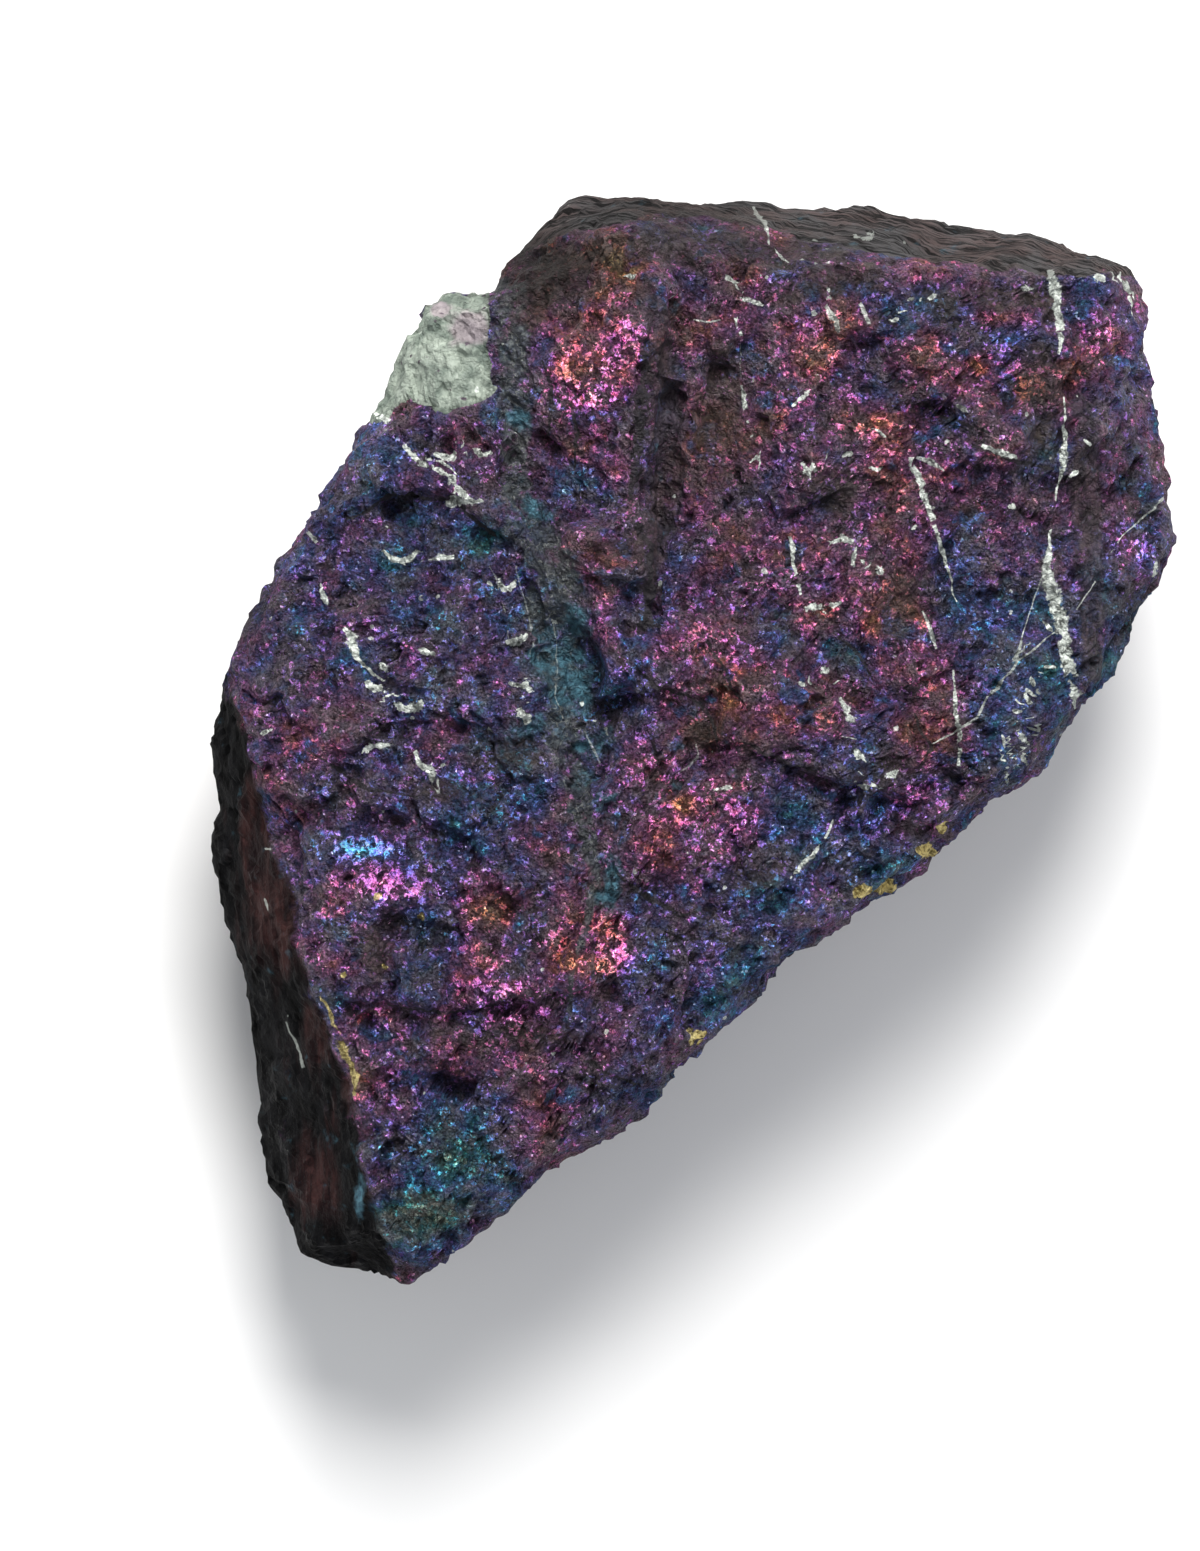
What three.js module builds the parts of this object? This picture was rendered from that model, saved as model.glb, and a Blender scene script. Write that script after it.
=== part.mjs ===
// Peacock ore: a hand-sized lump of tarnished copper ore, broken on every side, lying on its back.
// Units are millimetres and +Z is up. The origin is on the flat spot that the stone rests on, straight
// below the middle of the show face.
// The broken show face looks up. +Y runs towards the slaty top side and -X towards the bevelled flank.
import * as THREE from 'three';
import { ImprovedNoise } from 'three/addons/math/ImprovedNoise.js';

// ---- Driving dimensions ----

const FACE_HEIGHT = 64; // middle of the show face above the rest spot
const FACE_STEP = 3.3; // side of a triangle on the show face
const SIDE_STEP = 4.5; // on the sides
const BELOW_STEP = 7; // on the underside

// How far the rings of triangles have to go: out over the face, down the side, in under the stone.
const FACE_RUN = 80;
const SIDE_RUN = 58;
const BELOW_RUN = 36;

const HEEL_HEIGHT = 11; // where a side turns under to the underside
const HEEL_SHARE = 0.84; // the heel's reach from the axis, as a share of the skirt's
const SPOT_MIDDLE = [-4, 9]; // the flat rest spot lies under the stone's own middle
const SPOT_REACH = [37, 44]; // half width and half length of the rest spot

// The main break of the show face is a low dome, and three of its parts lean away from it.
const DOME = { fall: 4, halfWidth: 88, halfLength: 98 };
const LEFT_LEAN = { from: -24, slope: 0.13 };
const FOOT_LEAN = { from: -40, slope: 0.1 };
const RIGHT_LEAN = { fromLow: 74, fromHigh: 66, slope: 0.5 }; // its ridge runs at a slant
const ROLL_REACH = 5; // how far in from its rim the show face starts to roll over

const LEDGE_RUN = 1.7; // half the ground that a ledge's own drop takes
const LEDGE_WANDER = 2; // how far a ledge strays from its route
const WANDER_SIZE = 9; // and how long a stray is

// The break itself: flat chipped faces of two sizes, soft lumps, and thin leaves on the slaty side.
const COARSE_CHIPS = { size: 18, lean: 0.42, rise: 1.2, seed: 1 };
const FINE_CHIPS = { size: 8.5, lean: 0.26, rise: 0.5, seed: 20 };
const LUMP = { size: 23, height: 1 };
const LEAF = { length: 24, thickness: 3.4, height: 0.6, slatyHeight: 1.7 };
const SCATTER = { size: 2.7, shift: 1.5 }; // sideways shift of the triangles' corners
const SIDE_SMOOTHNESS = 0.55; // an upright side is chipped this much as deep as the face

// The rim of the stone, corner by corner, anticlockwise from the top right as seen from above.
// Each row: rim of the show face x, y | how far the face rolls down there | skirt, the widest point,
// x, y, z.
const RIM = [
  // Slaty top side, which flares outwards as it goes down.
  [78, 84, 2, 82, 87.5, 37],
  [69, 85, 1, 75, 91, 31],
  [60, 84.5, 1, 61, 94.5, 28],
  [44, 84.5, 1, 48, 96.5, 27],
  [31, 86.5, 1, 37, 99.5, 27],
  [13, 88.5, 1.5, 17, 99.5, 28],
  [2, 91, 2, 1.5, 100, 29],
  [-12, 93, 3, -10, 101.5, 30],
  [-18, 91, 3, -23, 100, 31],
  // Rounded shoulder, down to the notch beside the quartz corner.
  [-23.5, 87.5, 3, -27.5, 94.5, 33],
  [-29.5, 83.5, 2, -33.5, 87.5, 36],
  [-34, 79.5, 1, -35, 81.5, 40],
  // Quartz corner.
  [-44, 79, 1.5, -45.5, 81.5, 42],
  [-47.5, 77, 2, -49.5, 79, 42],
  [-52.5, 64, 2, -54.8, 65.5, 42],
  // Upper left flank, nearly upright.
  [-57, 55.5, 3, -59.6, 56.8, 42],
  [-66.5, 43.5, 3, -69.3, 45, 42],
  [-70.5, 37, 3, -72.8, 38, 41],
  [-79, 21, 3, -82, 21.5, 40],
  [-83, 10, 2, -87, 12, 37],
  // Bevelled lower left flank, which flares outwards below the rim.
  [-80, -1, 1, -88, -4, 33],
  [-76.5, -15, 1, -88.5, -14, 31],
  [-73, -24, 1, -89, -22, 30],
  [-71, -38, 1, -84.6, -37.6, 29],
  [-65, -55, 1, -82.5, -55, 29],
  [-60.5, -68, 1, -80.6, -71.5, 29],
  [-57.5, -80, 1, -76.6, -83.5, 29],
  // Toe.
  [-56.5, -89, 1.5, -74, -98, 30],
  [-54.5, -93, 2, -62, -99, 31],
  [-50, -96, 2, -52.5, -102, 36],
  // Long lower right break, scalloped, leaning in below its rim.
  [-45, -94, 4, -46.5, -97, 43],
  [-35, -88, 5, -36.5, -90.5, 45],
  [-23, -76, 5, -24, -78.5, 46],
  [-10, -67, 5, -9.2, -69.8, 47],
  [-4.2, -59.8, 5, -3, -61.8, 47],
  [12, -44.5, 5, 13.8, -46.8, 47],
  [17.5, -38, 5, 19.3, -40, 47],
  [42.5, -22, 5, 44.5, -24, 47],
  [55, -8.5, 5, 57.2, -9.8, 47],
  [62.5, -4, 4, 65, -5.5, 47],
  [78.5, 17.5, 4, 81.5, 18.5, 46],
  [84.5, 30, 4, 88, 31, 45],
  // Short right side.
  [85.5, 40, 4, 89, 40, 44],
  [84, 52, 4, 88, 52, 43],
  [81.5, 70, 3, 85, 71, 41],
];

// Ledges of the show face: a route with the lower ground on its right hand, the drop, and how far
// each side takes to level out again.
const LEDGES = [
  { name: 'boss wall', route: [[-7, 30], [-6.5, 50], [-4.5, 80]], drop: 9, reach: 11 },
  { name: 'block corner', route: [[-17, 29], [-8, 28], [-8, 20]], drop: 3, reach: 7 },
  { name: 'arc ledge', route: [[-70, 37], [-53, 45], [-43, 44], [-33, 35], [-21, 18]], drop: 5, reach: 12 },
  { name: 'left shelf', route: [[-76, -11], [-60, -12], [-40, -18]], drop: 3.5, reach: 7 },
  { name: 'middle cliff', route: [[-9.5, 12], [0, 7.5], [4, 4.5], [5, -3]], drop: 4, reach: 7 },
  { name: 'right shelf', route: [[11, -1.5], [21, -6], [31, -9]], drop: 4.5, reach: 8 },
  { name: 'lower right shelf', route: [[12, -26], [24, -18], [38, -14]], drop: -3, reach: 6 },
  { name: 'upper stair', route: [[-63, -48], [-40, -49.5], [-16, -45]], drop: 4, reach: 6 },
  { name: 'lower stair', route: [[-60, -61], [-38, -62.5], [-15, -62]], drop: 4, reach: 6 },
  { name: 'right brow', route: [[52, 50], [60, 48.5], [68, 47.5]], drop: 5, reach: 6 },
  { name: 'upper brow', route: [[42, 64], [50, 58.5], [57, 54]], drop: 4, reach: 6 },
  { name: 'left furrow', route: [[32, 75], [25, 67], [18, 60]], drop: -3, reach: 5 },
  { name: 'right furrow', route: [[43, 76], [35, 67], [27, 59]], drop: -3, reach: 5 },
];

// Clefts and worn-down veins of the show face: route, depth and half width.
const GROOVES = [
  { name: 'cleft under the boss wall', route: [[-7.5, 21], [-7, 38], [-5.5, 60]], depth: 4, half: 3 },
  { name: 'vein beside the quartz', route: [[-31, 78], [-30, 60], [-29, 45]], depth: 2.5, half: 4 },
  { name: 'middle vein', route: [[-29, 45], [-22, 25], [-18, -2], [-15, -30]], depth: 2, half: 4.5 },
  { name: 'right vein', route: [[68, 84], [70, 60], [67, 40], [66, 28], [70, 10]], depth: 1.5, half: 3 },
];

// Swellings of the show face, and hollows, whose height is below 0: middle, reach along x and y, turn
// in degrees, height.
const SWELLS = [
  { name: 'boss', at: [-17, 70], reach: [14, 15], turn: 15, height: 3.5 },
  { name: 'scar right of the boss', at: [6, 58], reach: [10, 15], turn: 0, height: -3 },
  { name: 'teal hollow', at: [56, 25], reach: [9, 5], turn: -15, height: -3.5 },
  { name: 'middle hollow', at: [28, 20], reach: [7, 9], turn: 20, height: -3.5 },
  { name: 'small hollow', at: [27, 41], reach: [8, 5], turn: 0, height: -2.5 },
  { name: 'dark hollow', at: [-23, -60], reach: [7, 3.5], turn: 0, height: -2.5 },
  { name: 'left swell', at: [-45, 16], reach: [18, 14], turn: 0, height: 2.5 },
  { name: 'bright swell', at: [-52, -28], reach: [14, 7], turn: 10, height: 3.5 },
  { name: 'pink swell', at: [0, -19], reach: [14, 9], turn: 0, height: 3.5 },
  { name: 'orange swell', at: [-18, -39], reach: [11, 8], turn: 30, height: 2.5 },
  { name: 'upper right swell', at: [56, 70], reach: [12, 9], turn: 0, height: 2.5 },
  { name: 'middle right swell', at: [26, 3], reach: [14, 8], turn: -20, height: 2 },
  { name: 'toe swell', at: [-46, -80], reach: [11, 8], turn: 0, height: 2 },
];

// ---- Small helpers ----

const noise = new ImprovedNoise();
const clamp01 = (t) => Math.min(1, Math.max(0, t));
const smooth = (low, high, v) => THREE.MathUtils.smoothstep(v, low, high);
const mix = THREE.MathUtils.lerp;

// Noise from about -1 to 1 whose lumps are `size` across.
function lumps(p, size, seed = 0) {
  return noise.noise(p.x / size + seed, p.y / size - seed, p.z / size + 2 * seed);
}

// A number from 0 to 1 that is always the same for the same whole numbers.
function chance(i, j, k, seed) {
  const wave = Math.sin(i * 127.1 + j * 311.7 + k * 74.7 + seed * 53.3) * 43758.5453;
  return wave - Math.floor(wave);
}

// The middle of one cell of a scattered grid, and the lean and the rise of its flat face.
function cellAt(i, j, k, size, seed) {
  const roll = (n) => chance(i, j, k, seed + n);
  return {
    middle: new THREE.Vector3(i + roll(0), j + roll(1), k + roll(2)).multiplyScalar(size),
    lean: new THREE.Vector3(roll(3) - 0.5, roll(4) - 0.5, roll(5) - 0.5),
    rise: roll(6) - 0.5,
  };
}

// Height at p on a break made of flat faces about `size` across, each with its own lean and rise.
function chipped(p, { size, lean, rise, seed }) {
  const [i, j, k] = [p.x, p.y, p.z].map((v) => Math.floor(v / size));
  let nearest = { gap: Infinity };
  for (let di = -1; di <= 1; di += 1) {
    for (let dj = -1; dj <= 1; dj += 1) {
      for (let dk = -1; dk <= 1; dk += 1) {
        const cell = cellAt(i + di, j + dj, k + dk, size, seed);
        const gap = p.distanceTo(cell.middle);
        if (gap < nearest.gap) nearest = { gap, cell };
      }
    }
  }
  const from = p.clone().sub(nearest.cell.middle);
  return lean * from.dot(nearest.cell.lean) + rise * nearest.cell.rise;
}

// ---- The show face ----

// How far (x, y) lies from a route, and how far to the right of its nearest stretch.
function offsetFrom(route, x, y) {
  let best = { distance: Infinity };
  for (let i = 0; i + 1 < route.length; i += 1) {
    const [ax, ay] = route[i];
    const [bx, by] = route[i + 1];
    const run = Math.hypot(bx - ax, by - ay);
    const along = ((x - ax) * (bx - ax) + (y - ay) * (by - ay)) / run;
    const held = Math.min(run, Math.max(0, along));
    const side = ((x - ax) * (by - ay) - (y - ay) * (bx - ax)) / run;
    const distance = Math.hypot(x - mix(ax, bx, held / run), y - mix(ay, by, held / run));
    if (distance < best.distance) best = { distance, side };
  }
  return best;
}

// A ledge raises the ground on its left hand and lowers it on its right by half of its drop each.
function ledgeHeight({ route, drop, reach }, x, y) {
  const wander = LEDGE_WANDER * noise.noise(x / WANDER_SIZE, y / WANDER_SIZE, 0.5);
  const { distance, side } = offsetFrom(route, x, y);
  const step = Math.tanh((side + wander) / LEDGE_RUN);
  return -0.5 * drop * step * Math.exp(-distance / reach);
}

function grooveHeight({ route, depth, half }, x, y) {
  const { distance } = offsetFrom(route, x, y);
  return -depth * Math.exp(-((distance / half) ** 2));
}

function swellHeight({ at, reach, turn, height }, x, y) {
  const p = new THREE.Vector2(x - at[0], y - at[1]);
  p.rotateAround(new THREE.Vector2(), THREE.MathUtils.degToRad(-turn));
  return height * Math.exp(-((p.x / reach[0]) ** 2) - (p.y / reach[1]) ** 2);
}

function domeHeight(x, y) {
  return FACE_HEIGHT - DOME.fall * ((x / DOME.halfWidth) ** 2 + (y / DOME.halfLength) ** 2);
}

function leanDrop(x, y) {
  const left = LEFT_LEAN.slope * Math.max(0, LEFT_LEAN.from - x);
  const foot = FOOT_LEAN.slope * Math.max(0, FOOT_LEAN.from - y);
  const ridge = mix(RIGHT_LEAN.fromLow, RIGHT_LEAN.fromHigh, clamp01(y / DOME.halfLength));
  return left + foot + RIGHT_LEAN.slope * Math.max(0, x - ridge);
}

function faceHeight(x, y) {
  let z = domeHeight(x, y) - leanDrop(x, y);
  for (const ledge of LEDGES) z += ledgeHeight(ledge, x, y);
  for (const groove of GROOVES) z += grooveHeight(groove, x, y);
  for (const swell of SWELLS) z += swellHeight(swell, x, y);
  return z;
}

// ---- The rim, and what hangs from it ----

const skirts = RIM.map(([, , , x, y, z]) => new THREE.Vector3(x, y, z));
const rowAt = [0];
skirts.forEach((p, i) => rowAt.push(rowAt[i] + p.distanceTo(skirts[(i + 1) % skirts.length])));
const girth = rowAt[RIM.length];

// The rim's own values at share u of the way round.
function rimAt(u) {
  const run = (((u % 1) + 1) % 1) * girth;
  let i = 0;
  while (rowAt[i + 1] <= run) i += 1;
  const t = (run - rowAt[i]) / (rowAt[i + 1] - rowAt[i]);
  const next = RIM[(i + 1) % RIM.length];
  const [x, y, roll, sx, sy, sz] = RIM[i].map((v, k) => mix(v, next[k], t));
  return { x, y, roll, skirt: new THREE.Vector3(sx, sy, sz) };
}

// A point of the show face: share s of the way from its middle to the rim.
function facePoint(u, s) {
  const { x, y, roll } = rimAt(u);
  const inwards = (1 - s) * Math.hypot(x, y);
  const z = faceHeight(x * s, y * s) - roll * Math.exp(-inwards / ROLL_REACH);
  return new THREE.Vector3(x * s, y * s, z);
}

function heelPoint(u) {
  const { skirt } = rimAt(u);
  return new THREE.Vector3(skirt.x * HEEL_SHARE, skirt.y * HEEL_SHARE, HEEL_HEIGHT);
}

// A point of the side: share s of the way down from the rim, by the skirt, to the heel.
function sidePoint(u, s) {
  const top = facePoint(u, 1);
  const { skirt } = rimAt(u);
  const heel = heelPoint(u);
  const upper = top.distanceTo(skirt);
  const run = s * (upper + skirt.distanceTo(heel));
  if (run < upper) return top.lerp(skirt, run / upper);
  return skirt.clone().lerp(heel, (run - upper) / skirt.distanceTo(heel));
}

// The edge of the flat spot, in the direction of the skirt.
function spotPoint(u) {
  const { skirt } = rimAt(u);
  const turn = Math.atan2(skirt.y, skirt.x);
  const wobble = 1 + 0.1 * Math.cos(3 * turn + 0.6) + 0.07 * Math.cos(5 * turn - 1);
  return new THREE.Vector3(
    SPOT_MIDDLE[0] + SPOT_REACH[0] * wobble * Math.cos(turn),
    SPOT_MIDDLE[1] + SPOT_REACH[1] * wobble * Math.sin(turn),
    0,
  );
}

// A point of the underside: share s of the way from the heel in to the flat spot.
function belowPoint(u, s) {
  return heelPoint(u).lerp(spotPoint(u), s);
}

// ---- Rings of points, laced together with triangles ----

function ring(pointAt, girthHere, step, turned) {
  const count = Math.max(6, Math.round(girthHere / step));
  const phase = turned ? 0.5 / count : 0;
  const shares = Array.from({ length: count }, (_, i) => i / count + phase);
  return { shares, points: shares.map(pointAt) };
}

function layRings() {
  const rings = [];
  // Every second ring is turned by half a step, so that the triangles are even.
  const lay = (pointAt, run, step, girthAt) => {
    const count = Math.round(run / step);
    for (let k = 1; k <= count; k += 1) {
      const s = k / count;
      rings.push(ring((u) => pointAt(u, s), girthAt(s), step, rings.length % 2 === 1));
    }
  };
  const spotGirth = Math.PI * (SPOT_REACH[0] + SPOT_REACH[1]);
  lay(facePoint, FACE_RUN, FACE_STEP, (s) => girth * s);
  lay(sidePoint, SIDE_RUN, SIDE_STEP, () => girth);
  lay(belowPoint, BELOW_RUN, BELOW_STEP, (s) => mix(girth * HEEL_SHARE, spotGirth, s));
  return rings;
}

// Triangles between an upper ring and the next, whichever point comes first going round.
function lace(upper, lower, firstUpper, firstLower, triangles) {
  const upperCount = upper.shares.length;
  const lowerCount = lower.shares.length;
  let i = 0;
  let j = 0;
  while (i < upperCount || j < lowerCount) {
    const nextUpper = upper.shares[0] + (i + 1) / upperCount;
    const nextLower = lower.shares[0] + (j + 1) / lowerCount;
    const a = firstUpper + (i % upperCount);
    const b = firstLower + (j % lowerCount);
    if (j >= lowerCount || (i < upperCount && nextUpper <= nextLower)) {
      i += 1;
      triangles.push(a, b, firstUpper + (i % upperCount));
    } else {
      j += 1;
      triangles.push(a, b, firstLower + (j % lowerCount));
    }
  }
}

function closedSkin() {
  const rings = layRings();
  const points = [new THREE.Vector3(0, 0, faceHeight(0, 0))];
  const firsts = [];
  for (const { points: own } of rings) {
    firsts.push(points.length);
    points.push(...own);
  }
  const bottom = points.push(new THREE.Vector3(SPOT_MIDDLE[0], SPOT_MIDDLE[1], 0)) - 1;
  const triangles = [];
  const inner = rings[0].points.length;
  for (let i = 0; i < inner; i += 1) triangles.push(0, firsts[0] + i, firsts[0] + ((i + 1) % inner));
  for (let k = 0; k + 1 < rings.length; k += 1) {
    lace(rings[k], rings[k + 1], firsts[k], firsts[k + 1], triangles);
  }
  const last = firsts.at(-1);
  const outer = rings.at(-1).points.length;
  for (let i = 0; i < outer; i += 1) triangles.push(bottom, last + ((i + 1) % outer), last + i);
  return new THREE.BufferGeometry().setFromPoints(points).setIndex(triangles);
}

// ---- Roughness of the break ----

// How far the skin stands out at p, where it faces along n.
function roughness(p, n) {
  const upright = 1 - smooth(0.55, 0.95, Math.abs(n.z));
  const slaty = upright * smooth(0.3, 0.8, n.y);
  const chips = chipped(p, COARSE_CHIPS) + chipped(p, FINE_CHIPS);
  const broken = chips + LUMP.height * lumps(p, LUMP.size);
  const leaf = noise.noise(p.x / LEAF.length, p.y / LEAF.length, p.z / LEAF.thickness);
  const leaves = leaf * mix(LEAF.height * upright, LEAF.slatyHeight, slaty);
  return broken * mix(1, SIDE_SMOOTHNESS, upright) + leaves;
}

// A small sideways shift, so that the corners of the triangles don't line up.
function scatter(p) {
  const shift = (seed) => SCATTER.shift * lumps(p, SCATTER.size, seed);
  return new THREE.Vector3(shift(11), shift(23), shift(37));
}

// The roughness fades out towards the rest spot, which stays flat.
function breakUp(skin) {
  skin.computeVertexNormals();
  const place = skin.getAttribute('position');
  const facing = skin.getAttribute('normal');
  for (let i = 0; i < place.count; i += 1) {
    const p = new THREE.Vector3().fromBufferAttribute(place, i);
    const n = new THREE.Vector3().fromBufferAttribute(facing, i);
    const amount = smooth(1, HEEL_HEIGHT, p.z);
    const sideways = scatter(p).projectOnPlane(n).multiplyScalar(amount);
    p.addScaledVector(n, roughness(p, n) * amount).add(sideways);
    place.setXYZ(i, p.x, p.y, p.z);
  }
  return skin;
}

// ---- The stone ----

const tarnish = new THREE.MeshStandardMaterial({ color: 0x4a3350, roughness: 0.45, metalness: 0.8 });
const ore = new THREE.Mesh(breakUp(closedSkin()), tarnish);
ore.name = 'ore';

const stone = new THREE.Group();
stone.add(ore);

export default stone;
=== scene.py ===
# %% [markdown]
# # Peacock ore
# Peacock ore is a copper ore, mostly bornite with some chalcopyrite. A fresh break is the colour of brass
# or bronze. In air it grows a very thin film, and light that bounces off the two sides of that film mixes
# into bright colours, as on a soap bubble: gold, magenta, purple, blue and teal, in the order in which
# the film gets thicker. This lesson makes one hand-sized lump of it: a skin of small hackly chips, a
# film whose thickness changes from place to place, and the other minerals that are grown into it.
#
# The first cell loads the solid model of the stone, which has its true size and place. Everything
# that follows is in its frame: metres for the objects, with the show face looking up.

# %% Load the solid stone
import itertools
import math

import bmesh
import bpy
import numpy as np
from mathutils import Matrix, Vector, noise


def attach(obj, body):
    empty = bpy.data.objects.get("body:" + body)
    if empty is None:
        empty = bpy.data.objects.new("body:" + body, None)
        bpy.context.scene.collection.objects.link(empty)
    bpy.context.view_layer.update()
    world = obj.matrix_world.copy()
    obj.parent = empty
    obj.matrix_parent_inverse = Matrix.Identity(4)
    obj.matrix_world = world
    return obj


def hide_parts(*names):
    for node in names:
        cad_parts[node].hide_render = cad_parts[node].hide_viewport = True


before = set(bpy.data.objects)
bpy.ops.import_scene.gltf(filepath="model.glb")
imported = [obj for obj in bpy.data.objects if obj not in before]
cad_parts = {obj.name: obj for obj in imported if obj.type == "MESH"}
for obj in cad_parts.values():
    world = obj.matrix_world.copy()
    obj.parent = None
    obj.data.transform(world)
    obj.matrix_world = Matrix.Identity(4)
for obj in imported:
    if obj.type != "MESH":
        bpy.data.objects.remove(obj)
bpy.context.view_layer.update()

MM = 0.001

# %% [markdown]
# ## Where the camera stands
# The stone lies on its back, so a camera that looks straight down sees the show face as a person sees
# it who holds the stone up. A long lens from far off keeps the sides from spreading out, which is how
# the eye sees a thing of this size. The lens could be found by trial, but it follows from the frame:
# a picture so many millimetres high, seen from so far away.

# %% Camera over the show face
PICTURE_PX = (1200, 1551)
PX_PER_MM = 5.5             # scale of the picture on the show face
MIDDLE_PX = (690, 737)      # where the frame's own axis stands in the picture
FACE_HEIGHT = 64 * MM
CAMERA_ABOVE = 1400 * MM    # camera to show face
SENSOR = 36                 # long side of the sensor, in mm, as lenses are given

camera = bpy.data.objects.new("camera", bpy.data.cameras.new("camera"))
bpy.context.scene.collection.objects.link(camera)
bpy.context.scene.camera = camera
picture_height = PICTURE_PX[1] / PX_PER_MM * MM
camera.data.sensor_width = SENSOR
camera.data.lens = SENSOR * CAMERA_ABOVE / picture_height
camera.location = (
    (PICTURE_PX[0] / 2 - MIDDLE_PX[0]) / PX_PER_MM * MM,
    (MIDDLE_PX[1] - PICTURE_PX[1] / 2) / PX_PER_MM * MM,
    FACE_HEIGHT + CAMERA_ABOVE,
)
print("lens", round(camera.data.lens), "mm")

# %% [markdown]
# ## Floor and studio light
# A sparkling stone shows what it reflects, so the light matters as much as the material. One wide soft
# lamp stands beyond the stone's top end, half way up the sky. It gives every chip that leans towards it a
# gleam, and leaves the others dark. A dome of even light could fill everything, but it would also grey
# the dark chips, so the world stays dim and only a weak second lamp lifts the other side. The floor is
# plain and pale.

# %% Floor, lamps and world
def stage_floor(half_width):
    shape = bmesh.new()
    bmesh.ops.create_grid(shape, x_segments=1, y_segments=1, size=half_width)
    mesh = bpy.data.meshes.new("floor")
    shape.to_mesh(mesh)
    shape.free()
    floor = bpy.data.objects.new("floor", mesh)
    bpy.context.scene.collection.objects.link(floor)
    paint = bpy.data.materials.new("pale floor")
    paint.use_nodes = True
    shader = paint.node_tree.nodes["Principled BSDF"]
    shader.inputs["Base Color"].default_value = (0.88, 0.88, 0.88, 1)
    shader.inputs["Roughness"].default_value = 0.9
    shader.inputs["Specular IOR Level"].default_value = 0.1
    mesh.materials.append(paint)


def soft_lamp(name, place, size, watts, tint):
    lamp = bpy.data.lights.new(name, "AREA")
    lamp.shape = "SQUARE"
    lamp.size = size
    lamp.energy = watts
    lamp.color = tint
    holder = bpy.data.objects.new(name, lamp)
    holder.location = place
    holder.rotation_euler = (-Vector(place)).to_track_quat("-Z", "Y").to_euler()
    holder.visible_camera = False
    bpy.context.scene.collection.objects.link(holder)


def dim_world(seen, lighting):
    """A world that looks pale behind the floor but lights the stone only weakly."""
    world = bpy.data.worlds.new("studio")
    world.use_nodes = True
    tree = world.node_tree
    glow = tree.nodes["Background"]
    glow.inputs["Color"].default_value = (0.95, 0.97, 1.0, 1)
    eye = tree.nodes.new("ShaderNodeLightPath")
    choose = tree.nodes.new("ShaderNodeMix")
    choose.inputs["A"].default_value = lighting
    choose.inputs["B"].default_value = seen
    tree.links.new(eye.outputs["Is Camera Ray"], choose.inputs["Factor"])
    tree.links.new(choose.outputs["Result"], glow.inputs["Strength"])
    bpy.context.scene.world = world


stage_floor(half_width=3.0)
soft_lamp("key lamp", (0.1, 0.95, 1.0), size=0.6, watts=30, tint=(1.0, 0.985, 0.96))
soft_lamp("fill lamp", (0.8, -0.6, 0.8), size=0.8, watts=3.0, tint=(0.94, 0.96, 1.0))
dim_world(seen=0.95, lighting=0.5)
bpy.context.scene.view_settings.view_transform = "Standard"

# %% [markdown]
# ## A finer skin
# The solid stone has triangles of about 3 mm, enough for its lumps and ledges. The break of the ore is
# finer than that, so the stone gets a skin of its own that starts as a copy of the solid. Its loose
# triangles are first joined at their corners. Each edge is then halved twice, which makes 16 triangles
# of each one, and a little smoothing in between takes the hard folds off. The slaty side is flatter than
# the rest, so it is smoothed more. A Subdivision Surface modifier would also refine the stone, but it
# would round the ledges away.

# %% Copy the solid and refine it
RELAXING = (0.3, 0.25)    # smoothing after each halving: share of the way to the neighbours' middle
SLATY_RELAXING, SLATY_ROUNDS = 0.4, 4
SLATY_FROM_X, SLATY_FROM_Y = -15 * MM, 90 * MM
LIFTED = 0.5 * MM         # what lies lower is the flat rest spot, and stays
EVERY_WAY = {"use_axis_x": True, "use_axis_y": True, "use_axis_z": True}


def fine_skin(solid):
    skin = bmesh.new()
    skin.from_mesh(solid.data)
    bmesh.ops.remove_doubles(skin, verts=skin.verts, dist=1e-6)
    for relax in RELAXING:
        bmesh.ops.subdivide_edges(skin, edges=skin.edges, cuts=1, use_grid_fill=True)
        loose = [v for v in skin.verts if v.co.z > LIFTED]
        bmesh.ops.smooth_vert(skin, verts=loose, factor=relax, **EVERY_WAY)
        slaty_side = [v for v in loose if v.co.y > SLATY_FROM_Y and v.co.x > SLATY_FROM_X]
        for _ in range(SLATY_ROUNDS):
            bmesh.ops.smooth_vert(skin, verts=slaty_side, factor=SLATY_RELAXING, **EVERY_WAY)
    mesh = bpy.data.meshes.new("ore_stone")
    skin.to_mesh(mesh)
    skin.free()
    stone = bpy.data.objects.new("ore_stone", mesh)
    bpy.context.scene.collection.objects.link(stone)
    return stone


stone = fine_skin(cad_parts["ore"])
print("the skin has", len(stone.data.polygons), "triangles")

# %% [markdown]
# ## Measuring the skin
# The next steps move the skin's points and mark them, many thousands at a time. Arrays do that far
# faster than a loop over the points. All the measures here are in millimetres, since the chips and
# veins of the stone are a few of them across: x to the right, y up the show face, z out of it.

# %% Places and facings as arrays
def as_rows(collection, what):
    """One row of three numbers for each point."""
    flat = np.empty(len(collection) * 3)
    collection.foreach_get(what, flat)
    return flat.reshape(-1, 3)


def ease(low, high, value):
    """0 below low, 1 above high, and a smooth step between them. It also runs down if low is above high."""
    t = np.clip((value - low) / (high - low), 0, 1)
    return t * t * (3 - 2 * t)


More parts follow.
